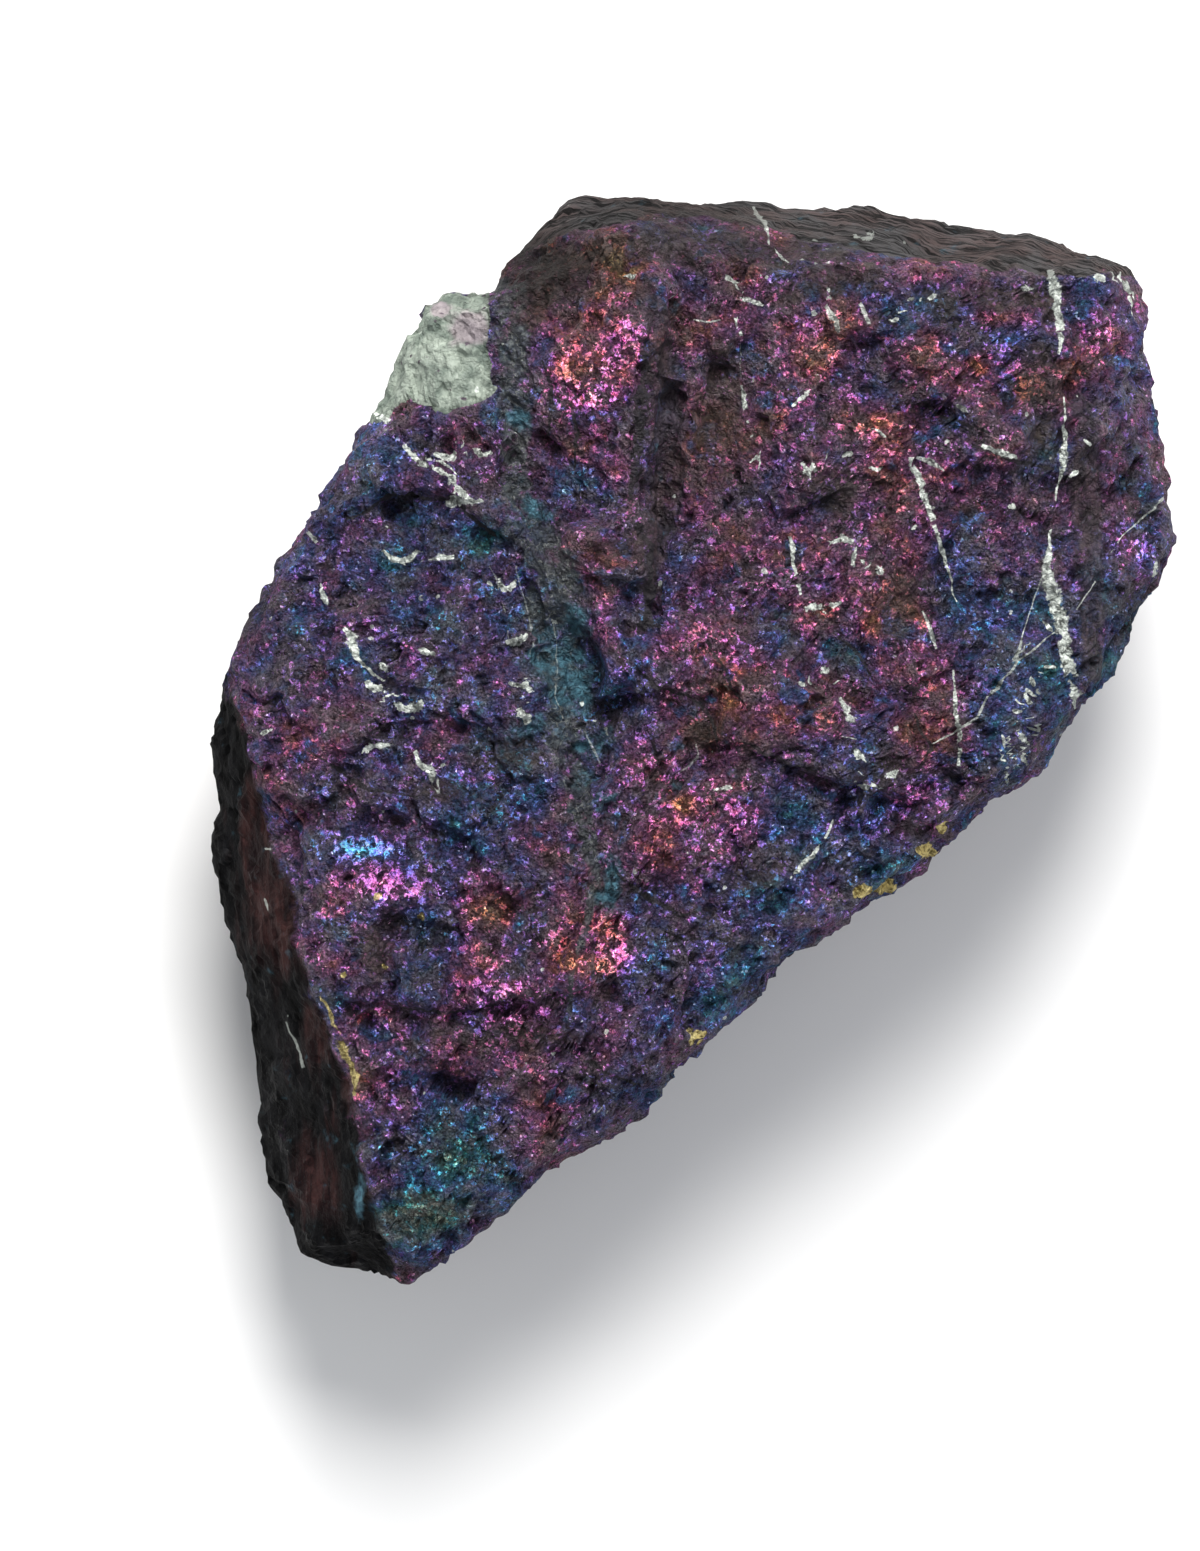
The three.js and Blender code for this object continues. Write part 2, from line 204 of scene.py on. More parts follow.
def cloud(points, size, seed=0):
    """Soft noise from about -1 to 1, with lumps about `size` across."""
    shift = Vector((seed, -seed, 2 * seed))
    return np.array([noise.noise(Vector(p) / size + shift) for p in points])


smooth_place = as_rows(stone.data.vertices, "co") / MM
smooth_facing = as_rows(stone.data.vertex_normals, "vector")
upright = ease(0.95, 0.55, np.abs(smooth_facing[:, 2]))
face_up = ease(0.2, 0.6, smooth_facing[:, 2])
print("share of the skin that looks up:", round(float(face_up.mean()), 2))

# %% [markdown]
# ## Hackly chips
# Bornite doesn't split along flat sheets. It breaks in a hackly way, in small flat chips that lean
# every way and meet at sharp steps. Plain noise would make soft lumps, like clay. Here space is
# filled with scattered cells, and each cell gives the points in it one flat face with its own lean and
# its own height. Three sizes of cell are laid over each other: large chips that show at arm's length,
# smaller ones on those, and a last one at the size of the ore's own grains.

# %% Lay chips of three sizes
CHIP_TABLE = 32     # the random cells repeat after this many
CHIP_SINK = 0.15    # how much deeper than the solid's surface the chips lie on average


def chips(points, size, lean, rise, seed):
    """Height at each point, on flat faces about `size` across that lean and rise at random."""
    table = np.random.default_rng(seed).random((CHIP_TABLE, CHIP_TABLE, CHIP_TABLE, 7))
    home = np.floor(points / size).astype(int)
    nearest = np.full(len(points), np.inf)
    height = np.zeros(len(points))
    for step in itertools.product((-1, 0, 1), repeat=3):
        cell = home + step
        roll = table[tuple((cell % CHIP_TABLE).T)]
        away = points - (cell + roll[:, :3]) * size
        gap = (away ** 2).sum(axis=1)
        own = lean * (away * (roll[:, 3:6] - 0.5)).sum(axis=1) + rise * (roll[:, 6] - 0.5)
        height = np.where(gap < nearest, own, height)
        nearest = np.minimum(gap, nearest)
    return height


def wandered(points, size, reach, seed):
    """The points shifted by noise, so that chips laid on them get crooked borders."""
    shift = [cloud(points, size, seed + i) for i in range(3)]
    return points + reach * np.stack(shift, axis=1)


crooked = wandered(smooth_place, size=5.0, reach=1.6, seed=3)
chip_height = (
    chips(crooked, size=9.0, lean=0.30, rise=0.5, seed=11)
    + chips(crooked, size=4.2, lean=0.45, rise=0.45, seed=12)
    + chips(crooked, size=2.4, lean=0.45, rise=0.3, seed=13)
)
chip_height -= chip_height.mean() + CHIP_SINK
print("chips stand from", round(chip_height.min(), 1), "to", round(chip_height.max(), 1), "mm")

# %% [markdown]
# ## Sharp ledges and the cleft
# The solid already steps down at the stone's main ledges, over a run of a few millimetres. On the
# real break the lip of a ledge is sharp. A ledge here is a route of a few points, and the ground on its
# right hand drops within a millimetre. The lips could be modelled as cut loops, but the route
# with a little wander gives the ragged line of a break, and can be moved later on.

# %% Sharpen the ledges
LIP_RUN = 0.5        # half the run of the sharp drop
LIP_WANDER = 1.3     # how far the lip strays from its route
LEDGE_LIPS = {
    # name: (route, drop, how far the drop takes to level out)
    "boss wall": ([(-7, 28), (-6.5, 50), (-4.5, 80)], 2.6, 4),
    "block corner": ([(-17, 29), (-8, 28), (-8, 20)], 1.6, 4),
    "arc ledge": ([(-70, 37), (-53, 45), (-43, 44), (-36, 38)], 1.2, 4),
    "left shelf": ([(-76, -11), (-60, -12), (-40, -18)], 1.2, 4),
    "middle cliff": ([(-9.5, 12), (0, 7.5), (4, 4.5), (5, -3)], 0.9, 4),
    "right shelf": ([(11, -1.5), (21, -6), (31, -9)], 1.4, 4),
    "upper stair": ([(-63, -48), (-40, -49.5), (-16, -45)], 1.3, 4),
    "lower stair": ([(-60, -61), (-38, -62.5), (-15, -62)], 1.3, 4),
    "right brow": ([(52, 50), (60, 48.5), (68, 47.5)], 1.4, 3),
    "upper brow": ([(42, 64), (50, 58.5), (57, 54)], 1.2, 3),
}


def follow(route):
    """Each point's place by its nearest stretch of a route, which is a list of x, y and half width: how
    far from the line, how far to its right, the half width there, and how far past the route's end."""
    nearest = np.full(len(x), np.inf)
    side, half, past_end = np.zeros((3, len(x)))
    last = len(route) - 2
    for i, ((ax, ay, a_half), (bx, by, b_half)) in enumerate(zip(route, route[1:])):
        run = math.hypot(bx - ax, by - ay)
        along = ((x - ax) * (bx - ax) + (y - ay) * (by - ay)) / run
        share = np.clip(along / run, 0, 1)
        gap = np.hypot(x - ax - share * (bx - ax), y - ay - share * (by - ay))
        own_side = ((x - ax) * (by - ay) - (y - ay) * (bx - ax)) / run
        beyond = np.maximum(-along if i == 0 else 0, along - run if i == last else 0)
        here = gap < nearest
        side = np.where(here, own_side, side)
        half = np.where(here, a_half + share * (b_half - a_half), half)
        past_end = np.where(here, beyond, past_end)
        nearest = np.minimum(gap, nearest)
    return nearest, side, half, past_end


def follow_thin(points):
    """How far from a route of x and y alone, and how far to its right."""
    return follow([(*point, 1) for point in points])[:2]


x, y, z = smooth_place.T
stray = LIP_WANDER * cloud(smooth_place, 6.0, seed=8)
lip_height = np.zeros(len(x))
for route, drop, level in LEDGE_LIPS.values():
    gap, side = follow_thin(route)
    lip_height -= 0.5 * drop * np.tanh((side + stray) / LIP_RUN) * np.exp(-gap / level)
lip_height *= face_up
print("sharpened", len(LEDGE_LIPS), "ledges")

# %% [markdown]
# ## Slaty leaves
# The stone's top side broke along thin leaves of dull rock, so it looks like the edge of a pile of
# paper. Noise that is long along x and y and very short along z gives such leaves. On the other upright
# sides they are only hinted at. The leaves stand out furthest near the middle, where the side bulges.
# Here too the slaty side and the bevelled flank get their borders, since both are smoother than the ore.

# %% Lay the leaves and move the skin
LEAF_SQUASH = np.array([1 / 20, 1 / 20, 1 / 1.7])
SLATE_BROW = [
    # x, y of the edge between the show face and the slaty side
    (-44, 84), (-33, 88), (-22, 92), (-8, 95.5), (8, 94), (20, 91), (40, 87), (60, 85), (78, 84), (100, 84),
]
BEVEL_EDGE = [
    # y, x of the edge between the show face and the bevelled flank
    (-101, -52), (-94, -54.5), (-84, -57), (-72.5, -59.6), (-61, -62), (-55, -64.7), (-48.5, -67.3),
    (-39, -70.7), (-24, -73), (-12.5, -77.5), (0, -80), (8.5, -83), (30, -90),
]
LEAF_ON_SIDES, LEAF_ON_SLATE = 0.25, 0.55    # height of the leaves
BULGE, BULGE_MIDDLE, BULGE_REACH = 1.2, 14, 26
FLAT_BELOW, LUMPY_ABOVE = 0.5, 9.0      # the rest spot stays flat

beyond_brow = y - np.interp(x, *zip(*SLATE_BROW))
slaty = ease(-1.5, 2.5, beyond_brow + 1.5 * cloud(smooth_place, 7.0, seed=31))
slaty *= ease(-75, -40, x)
beyond_edge = np.interp(y, *zip(*BEVEL_EDGE)) - x
flank = ease(-1.0, 3.5, beyond_edge + 1.0 * cloud(smooth_place, 5.0, seed=41))
leaves = cloud(smooth_place * LEAF_SQUASH, 1.0, seed=5)
leaf_height = leaves * (LEAF_ON_SIDES * upright + LEAF_ON_SLATE * slaty)
chip_share = (1 - 0.55 * slaty) * (1 - 0.2 * upright) * (1 - 0.5 * flank)
grounded = ease(FLAT_BELOW, LUMPY_ABOVE, z)
fuller = BULGE * np.exp(-((x - BULGE_MIDDLE) / BULGE_REACH) ** 2) * ease(88, 95, y)
out = (chip_height * chip_share + lip_height + leaf_height + fuller) * grounded
skin_place = smooth_place + smooth_facing * out[:, None]
skin_place[:, 2] = np.maximum(skin_place[:, 2], 0)
stone.data.vertices.foreach_set("co", (skin_place * MM).ravel())
stone.data.update()
stone.data.shade_flat()
print("the skin moved by up to", round(float(np.abs(out).max()), 1), "mm")

# %% [markdown]
# ## Marking the skin
# A mark is one number at each point of the mesh, an attribute, which the material reads later on. That
# keeps what grows where apart from how it looks. The next cells write the marks: how thick the
# film is, how much it gleams, where the pits are, and where the other minerals are.

# %% Helper that writes a mark
def mark(name, values):
    attribute = stone.data.attributes.new(name, "FLOAT", "POINT")
    attribute.data.foreach_set("value", np.asarray(values, dtype=np.float32))
    print(f"mark {name}: {values.min():.2f} to {values.max():.2f}")


# %% [markdown]
# ## Pits
# The material darkens the pits: partly dust, partly painted shade. A point lies in a pit if its neighbours
# stand out further than it does, so the pull towards the neighbours' middle, measured along the facing, says
# how deep it lies. That number is passed on to the neighbours a few times so that it isn't spotty.

# %% Find the pits
SETTLING_ROUNDS = 6
# The deepest pits get the most dust and painted shade.
DEEP_PIT = 0.9      # a pit this deep is as dusty as can be


def neighbours_mean(mesh, values):
    """The mean of each point's neighbours. values is one row of numbers for each point."""
    ends = np.empty(len(mesh.edges) * 2, dtype=int)
    mesh.edges.foreach_get("vertices", ends)
    a, b = ends.reshape(-1, 2).T
    total = np.zeros_like(values)
    np.add.at(total, a, values[b])
    np.add.at(total, b, values[a])
    count = np.bincount(ends, minlength=len(values))
    return total / count.reshape(-1, *[1] * (values.ndim - 1))


settled = skin_place.copy()
for _ in range(SETTLING_ROUNDS):
    settled = neighbours_mean(stone.data, settled)
pit_depth = ((settled - skin_place) * smooth_facing).sum(axis=1)
mark("pits", ease(0.0, DEEP_PIT, pit_depth))

# %% [markdown]
# ## The tarnish film
# The film's colours always come in the same order as it thickens, so one number, its tone, is enough for
# a colour. A map painted by eye could hold it, but patches with names are easier to read and to change.
# Each patch has its middle, its reach along x and y, its tone, how strong it is, and how much the ore
# gleams there. Gleam is partly painted highlight: where it is high, more grains get the bright flash colour,
# painted brighter. Where two patches meet, the tone runs through the colours in between, as on the stone.

# %% Name the tones and place the patches
TONES = {
    "brass": 0.0, "bronze": 0.1, "copper": 0.2, "rose": 0.3, "magenta": 0.4, "purple": 0.5,
    "violet": 0.6, "indigo": 0.7, "cyan": 0.8, "teal": 0.9, "moss": 1.0,
}
PATCHES = [
    # x, y, reach x, reach y, tone, strength, gleam
    # left side
    (-58.2, 48.5, 9.1, 8.2, "indigo", 0.75, 0.35),
    (-62, 38, 12, 10, "violet", 0.6, 0.24),
    (-70.9, 32.2, 9.1, 9.1, "violet", 0.8, 0.3),
    (-70.9, 15.8, 12.7, 10.9, "violet", 0.75, 0.3),
    (-66, 13, 6, 5, "magenta", 0.8, 0.28),
    (-73.6, -2.4, 8.2, 7.3, "magenta", 0.8, 0.25),
    (-47.3, 19, 16, 16, "violet", 0.95, 0.3),
    (-42, 24, 12, 9, "indigo", 0.6, 0.28),
    (-43.6, -4.2, 7.3, 7.3, "purple", 0.6, 0.4),
    (-48, -6, 5, 4.5, "cyan", 0.7, 0.38),
    (-38.2, 37.6, 12.7, 8.2, "cyan", 0.6, 0.2),
    (-26.4, 8.5, 8.2, 16.4, "teal", 0.7, 0.2),
    (-14.5, 15.8, 4.4, 8.2, "indigo", 0.85, 0.35),
    (-17, -8, 5, 14, "violet", 0.6, 0.42),
    # boss and the ground about it
    (-20.9, 50.4, 10, 10.9, "purple", 0.6, 0.15),
    (-16.4, 32.2, 8.2, 6.4, "copper", 0.5, 0.15),
    (-25, 85, 9, 6, "bronze", 0.8, 0.0),
    (-14.2, 87.5, 4.4, 2.5, "bronze", 0.8, 0.4),
    (-19.1, 88.5, 10.9, 5.5, "copper", 0.5, 0.12),
    (-20.9, 66.4, 6.2, 4.7, "copper", 0.95, 0.95),
    (-11.3, 72.5, 4, 6.2, "magenta", 0.95, 1.0),
    (-16.7, 61.5, 6, 2.5, "rose", 0.9, 0.85),
    (-24.5, 58.5, 3, 2.2, "magenta", 0.7, 0.5),
    (-20, 76, 8, 4.5, "copper", 0.6, 0.25),
    (3, 78, 10, 7, "bronze", 0.6, 0.08),
    (-4.7, 52.2, 4.4, 29.1, "purple", 0.85, 0.0),
    (4.5, 55.8, 8.2, 16.4, "bronze", 0.55, 0.08),
    # upper right
    (12.7, 88.5, 20, 7.3, "purple", 0.7, 0.1),
    (8, 86, 22, 4, "bronze", 0.45, 0.05),
    (17, 76, 5, 5, "copper", 0.6, 0.2),
    (42, 67, 5, 5, "bronze", 0.65, 0.4),
    (1.8, 81.3, 7.3, 5.5, "indigo", 0.5, 0.3),
    (16.4, 84.9, 3.6, 2.7, "indigo", 0.7, 0.5),
    (22.2, 69.5, 5.5, 6.2, "copper", 0.75, 0.5),
    (29.1, 75.8, 4.5, 4.5, "rose", 0.6, 0.35),
    (40.9, 79.5, 5.1, 3.3, "cyan", 0.75, 0.25),
    (45.5, 85.3, 4.7, 2.2, "magenta", 0.85, 0.45),
    (30.9, 55.8, 6.9, 6.9, "rose", 0.85, 0.55),
    (35.5, 57.6, 4.4, 2.9, "bronze", 0.8, 0.5),
    (20, 46.7, 10.9, 7.3, "purple", 0.6, 0.3),
    (43.6, 42, 9, 7, "copper", 0.55, 0.2),
    (56.4, 71.3, 7.6, 6.9, "violet", 0.9, 0.5),
    (52.4, 68.2, 2.5, 1.8, "bronze", 0.9, 0.6),
    (75.5, 71.3, 4.7, 4.4, "rose", 0.95, 0.9),
    (70, 66.7, 4, 3.6, "copper", 0.8, 0.45),
    (76.4, 57.6, 7.3, 8.2, "purple", 0.6, 0.1),
    (78.2, 46.7, 7.3, 9.1, "purple", 0.7, 0.15),
    (63.6, 48.5, 8.2, 9.1, "indigo", 0.5, 0.1),
    (56.7, 76.7, 5, 2.2, "bronze", 0.8, 0.5),
    (62.7, 63.1, 4.5, 3.2, "copper", 0.85, 0.55),
    (36.4, 53.5, 4, 3, "copper", 0.85, 0.55),
    (41.8, 22.7, 2.6, 4.5, "copper", 0.8, 0.45),
    (45.6, 9.3, 2.6, 3.6, "bronze", 0.75, 0.4),
    (32.7, 21.3, 2.6, 3, "bronze", 0.75, 0.4),
    (41.8, 2.2, 6.5, 4, "rose", 0.8, 0.4),
    (77, 21, 5, 7, "cyan", 0.85, 0.22),
    (68, 2, 3, 6, "teal", 0.8, 0.35),
    (60.9, 24, 6, 3, "teal", 0.7, 0.0),
    (54, 39.5, 7.3, 5.5, "rose", 0.5, 0.25),
    (81.5, 32.2, 4.5, 5.5, "purple", 0.95, 1.2),
    (80, 22, 6.4, 6.5, "indigo", 0.7, 0.18),
    (76, 12, 7, 9, "cyan", 0.8, 0.3),
    (49.1, 24.9, 10.9, 8.2, "teal", 0.5, 0.1),
    (54.9, 19.8, 3.4, 3.0, "cyan", 1.0, 1.1),
    (60, 12, 9, 16, "indigo", 0.85, 0.2),
    (61.8, 3.1, 10.9, 8.2, "indigo", 0.8, 0.2),
    # middle
    (9.1, 17.6, 15.5, 18.2, "rose", 0.85, 0.3),
    (-7.3, 24.9, 3.6, 10.9, "purple", 0.6, 0.2),
    (1.8, 26.7, 7.3, 5.5, "violet", 0.7, 0.45),
    (1.8, 0.4, 7.3, 4.7, "copper", 0.6, 0.02),
    (7.3, 15.8, 4.4, 2.9, "magenta", 0.9, 0.7),
    (20, 32.2, 10, 8.2, "copper", 0.4, 0.28),
    (15.5, 38, 4, 6, "violet", 0.6, 0.25),
    (24, 22, 4, 4, "copper", 0.7, 0.4),
    (16.4, 21.3, 4, 4, "indigo", 0.5, 0.3),
    (29.1, 10.4, 9.1, 10.9, "copper", 0.5, 0.25),
    (29.1, 15.8, 4, 3.6, "teal", 0.7, 0.1),
    (38.2, 24.9, 5.1, 7.3, "bronze", 0.6, 0.3),
    (20, 3, 9, 5, "copper", 0.5, 0.25),
    (41.8, -0.5, 9.1, 7.3, "copper", 0.4, 0.2),
    (33.5, 0, 4.5, 8, "cyan", 0.75, 0.25),
    (-13, -5, 4, 4, "rose", 0.75, 0.5),
    (-10, 6, 6, 5.5, "indigo", 0.75, 0.75),
    (-7.3, -5.1, 4, 2.5, "rose", 0.9, 0.7),
    # lower middle
    (-23.6, -20.5, 7.3, 10.9, "purple", 0.5, 0.15),
    (-34.5, -14.2, 4.4, 8.2, "cyan", 0.8, 0.45),
    (-11.8, -20.5, 3.6, 7.3, "purple", 0.6, 0.2),
    (0, -14.2, 10, 5.6, "rose", 0.85, 0.68),
    (-5.5, -20.5, 6.2, 5.5, "magenta", 0.7, 0.55),
    (9.1, -16.9, 3.6, 3.3, "rose", 0.9, 0.9),
    (-1.8, -11.5, 2.9, 1.8, "bronze", 0.8, 0.9),
    (14.5, -11.5, 4.7, 3.6, "violet", 0.6, 0.3),
    (24.5, -14.2, 9.1, 6.4, "cyan", 0.6, 0.35),
    (29.1, -20.5, 9.1, 7.3, "indigo", 0.8, 0.3),
    (41.8, -10, 4.7, 2.9, "magenta", 0.95, 0.95),
    (38.2, -14.2, 5.1, 2.5, "violet", 0.8, 0.7),
    (34.5, -24.2, 9.1, 5.5, "indigo", 0.7, 0.2),
    (33.5, -13, 4, 5, "indigo", 0.8, 0.9),
    (6, -21.5, 5, 4, "rose", 0.7, 0.4),
    (0, -35.1, 10, 9.1, "purple", 0.75, 0.35),
    (-23.6, -38.7, 3.6, 4.7, "bronze", 0.7, 0.9),
    (-14.5, -35.1, 4.4, 2.9, "copper", 0.9, 1.0),
    (-13.6, -39.6, 4.7, 2.5, "rose", 0.8, 1.0),
    (-16.4, -41.5, 3.6, 2.2, "bronze", 0.7, 0.9),
    (9.1, -40.5, 9.1, 9.1, "cyan", 0.8, 0.35),
    (14.5, -29.6, 4.7, 4.7, "teal", 0.6, 0.45),
    (-3.6, -49.6, 9.1, 7.3, "indigo", 0.8, 0.3),
    (-16.4, -58.7, 9.1, 5.5, "purple", 0.6, 0.3),
    # lower left
    (-59.1, -20.5, 6.2, 2.4, "cyan", 1.0, 1.8),
    (-54.2, -26.7, 6.9, 3.3, "magenta", 0.95, 1.6),
    (-45.5, -20.5, 7.3, 5.5, "teal", 0.5, 0.35),
    (-47, -37, 6, 8, "teal", 0.6, 0.3),
    (-49.1, -15.1, 7.3, 7.3, "purple", 0.5, 0.2),
    (-38.2, -32, 6, 4.7, "copper", 0.8, 0.6),
    (-39.1, -40.5, 5, 4, "rose", 0.95, 0.5),
    (-32, -51, 7, 3.5, "magenta", 0.7, 0.9),
    (-34.5, -49, 8.5, 4.5, "magenta", 0.85, 1.05),
    (-57.5, -51.5, 6, 4.4, "rose", 0.9, 0.5),
    (-55, -61, 7, 5, "rose", 0.6, 0.3),
    (-60, -65.1, 4.4, 4.4, "copper", 0.6, 0.5),
    (-46, -51.5, 6, 6, "purple", 0.5, 0.2),
    (-45.5, -68.5, 7.3, 2.5, "indigo", 0.5, 0.4),
    (-45, -76, 10.5, 8, "teal", 1.0, 0.5),
    (-29, -77, 5, 6, "magenta", 0.6, 0.1),
    (-36.4, -80.5, 5.5, 7.3, "moss", 0.5, 0.3),
    (-23.6, -66, 8.2, 7.3, "rose", 0.6, 0.35),
    (-30.9, -58.7, 7.3, 4.7, "copper", 0.5, 0.4),
    (-18.2, -69.6, 7.3, 4.7, "purple", 0.6, 0.2),
    (-10.9, -62.4, 7.3, 7.3, "violet", 0.7, 0.2),
    (-51, -90, 12, 6, "moss", 0.85, 0.12),
]
GROUND_TONE, GROUND_GLEAM = 0.505, 0.24    # where there is no patch
DRIFT_BELOW, SIDE_GLEAM = 0.3, 0.15        # underneath the tone drifts at random, and the sides gleam little


def patch(at_x, at_y, reach_x, reach_y, strength=1.0):
    """A soft round patch: its strength in the middle, and next to nothing past twice its reach."""
    return strength * np.exp(-((x - at_x) / reach_x) ** 2 - ((y - at_y) / reach_y) ** 2)


film = np.full(len(x), GROUND_TONE)
gleam = np.full(len(x), GROUND_GLEAM)
for at_x, at_y, reach_x, reach_y, tone, strength, shine in PATCHES:
    share = patch(at_x, at_y, reach_x, reach_y, strength)
    film += share * (TONES[tone] - film)
    gleam += share * (shine - gleam)
below = ease(0.1, -0.4, smooth_facing[:, 2])
film += below * (GROUND_TONE + DRIFT_BELOW * cloud(smooth_place, 30, seed=21) - film)
# Less gleam underneath and on the sides means less painted highlight there.
gleam += np.maximum(below, upright) * (SIDE_GLEAM - gleam)
mark("film", film)
mark("gleam", gleam)

# %% [markdown]
# ## Rock that isn't ore
# A corner of the stone is pale green quartz, and a band of dull grey-green vein rock runs down from
# beside it. Two smooth dark strips are streaked as where the stone slid along a vein; the one down the boss
# wall is darkened partly as painted shade of that steep wall. The top side is slate, and the bevelled flank
# is an old break, near black partly in its own colour and partly as painted shade. Each gets a mark that is
# 1 on it and 0 off it, with a soft edge that the material will fray. An outline suits the corner, and a
# route with a width suits bands and strips.

# %% Mark quartz, vein rock, strips, slate and flank
QUARTZ_CORNER = [
    # x, y round the corner
    (-66, 60), (-60, 86), (-44, 92), (-37, 84), (-36.5, 76), (-37, 71), (-36, 68), (-36.5, 66.4),
    (-35, 63.5), (-36.5, 61.8), (-40, 60.4), (-43, 59.8), (-44.4, 58.6), (-46.2, 59.6), (-49, 60.9),
    (-51.8, 62), (-54.2, 60.9), (-57.5, 57.5),
]
VEIN_ROCK = [
    # x, y, half width
    (-33, 82, 3.6), (-32.2, 70, 3.4), (-31.6, 61, 3.0), (-31.5, 50, 2.6), (-31, 39.5, 3.6), (-25.5, 32, 5),
    (-25, 21, 5.5), (-24, 8.5, 5.0), (-22.5, -4, 3.4), (-19, -16, 2.0), (-17, -27, 1.4), (-19, -35, 0.9),
    (-21.5, -42, 0.7), (-22, -50, 0.6),
]
STREAKED_STRIPS = {
    # name: (x, y, half width)
    # The strip down the boss wall is dark partly as painted shade of that steep wall.
    "boss wall": [(-9, 82, 1.5), (-6, 74, 3.2), (-4.5, 64, 4.2), (-4, 52, 4.6), (-5.5, 40, 3.5),
        (-7, 30, 2.4), (-7.7, 21, 1.0)],
    "beside the right vein": [(71, 62, 1.5), (72.5, 52, 2.8), (72.5, 42, 3.4), (73, 32, 3.6),
        (73.5, 22, 2.6), (73.5, 12, 2)],
}


def signed_gap(outline):
    """Distance to a closed outline, positive inside it."""
    ring = list(outline) + [outline[0]]
    gap, _ = follow_thin(ring)
    inside = np.zeros(len(x), dtype=bool)
    for (ax, ay), (bx, by) in zip(ring, ring[1:]):
        if ay == by:
            continue
        crosses = (ay > y) != (by > y)
        inside ^= crosses & (x < ax + (y - ay) / (by - ay) * (bx - ax))
    return np.where(inside, gap, -gap)


def band(route, full, gone):
    """1 along a route and 0 off it. full and gone are in half widths of the route."""
    gap, _, half, _ = follow(route)
    return ease(gone, full, gap / half)


on_top = ease(8, 20, z) * ease(-0.3, 0.1, smooth_facing[:, 2])
on_face = on_top * ease(0.08, 0.3, smooth_facing[:, 2])
quartz = ease(-1.2, 1.2, signed_gap(QUARTZ_CORNER)) * on_top
vein_rock = band(VEIN_ROCK, full=0.5, gone=1.5)
streaked = np.maximum.reduce([band(route, full=0.4, gone=1.5) for route in STREAKED_STRIPS.values()])
mark("quartz", quartz)
mark("vein_rock", vein_rock * on_top)
# On the boss wall this strip also carries painted shade.
mark("streaked", streaked * on_top)
mark("slate", slaty)
mark("flank", flank)

# %% [markdown]
# ## Dust, stains and painted shade
# Dust lies on the ledges and in the hollows, teal copper stain has crept into the vein rock, rust into
# the flank, and a few spots are bare brass-yellow ore. Some hollows under the boss and some rims get painted
# shade, partly also their own darker colour, so they are darker than their shape alone makes them. All of
# these are soft spots like the film's patches.

# %% Mark dust, stains, brassy spots and painted shade
DUSTY_SPOTS = [
    # x, y, reach x, reach y
    (6, 60, 8, 16), (-8, 90, 22, 5), (-25, 86, 11, 8), (-30, 78, 5, 7), (25, 84, 12, 5), (45, 78, 7, 4),
    (64, 62, 5, 14), (12, 89, 26, 4), (60, 80, 16, 3), (27, 44, 6, 5), (37, 24, 5, 8), (1.5, 0.5, 6, 5),
    (-13, 34, 8, 4), (-32, -3, 6, 6), (-42, -10, 8, 3), (-15, -28, 6, 3), (34, -6, 8, 4), (-30, -55, 16, 3),
    (-58, -40, 4, 6), (12, -26, 7, 4),
]
TEAL_STAINS = [
    # x, y, reach x, reach y, strength
    (-31, 58, 2.5, 2.5, 0.9), (-29, 41, 6, 3.5, 0.7), (-21, 21.5, 3.2, 3.0, 1.0), (-20, 12, 3.2, 10, 1.0),
    (-25, 14, 6, 8, 0.7), (-30, 2, 5, 6, 0.5), (-16, -10, 3, 5, 0.5), (-14.5, -27, 2.5, 7, 0.8),
    (-22, 12, 4.5, 11, 0.75), (-18, -2, 3.5, 8, 0.65), (-60.5, -84, 0.9, 5, 1.0),
]
RUSTY_SPOTS = [
    # x, y, reach x, reach y
    (-80, -13.3, 4, 8), (-77.8, -22.4, 4, 14), (-76, -29.6, 3.5, 9), (-72.7, -37.8, 3, 7),
    (-69.1, -55.1, 3.2, 7.5), (-62.7, -63.3, 2, 10), (-70, -82.4, 4, 9), (-58.5, -77.8, 2.2, 7),
]
ROSY_SPOTS = [(-40, 74.5, 4.5, 4), (-46, 79, 2, 2)]
BRASSY_SPOTS = [
    # x, y, reach x, reach y
    (31.5, -28, 2.2, 1.6), (36, -27.5, 2.6, 1.6), (44.5, -21, 3.0, 1.7), (46.5, -17, 1.2, 1.6),
    (1, -55, 1.6, 1.8), (-57, -29, 1.2, 0.9), (-63.1, -43.1, 0.8, 0.8), (-55.8, -42, 1.0, 0.7),
    (-48.9, -32.9, 0.8, 0.8),
]
# Painted shade: these spots are darkened in colour, partly for the stone's own darker colour and partly for
# shade.
PAINTED_SHADE_SPOTS = [
    # x, y, reach x, reach y, strength
    (-27, 86, 12, 10, 0.9), (-4, 95, 24, 7, 0.6), (12, 87, 34, 9, 0.45), (50, 83, 26, 7, 0.35),
    (81, 48, 6, 16, 0.5), (81, 24, 6, 7, 0.6), (-84, 26, 10, 14, 0.75), (52, 31, 5, 6, 0.3),
    (-28, -78, 6, 6, 0.4), (-45, -58, 12, 4, 0.3), (-13, 46, 5, 8, 0.25), (66, 12, 5, 6, 0.2),
    (-22, 56, 7, 5, 0.55), (-66, 42, 7, 6, 0.3),
]


def strongest(spots):
    return np.maximum.reduce([patch(*spot) for spot in spots])


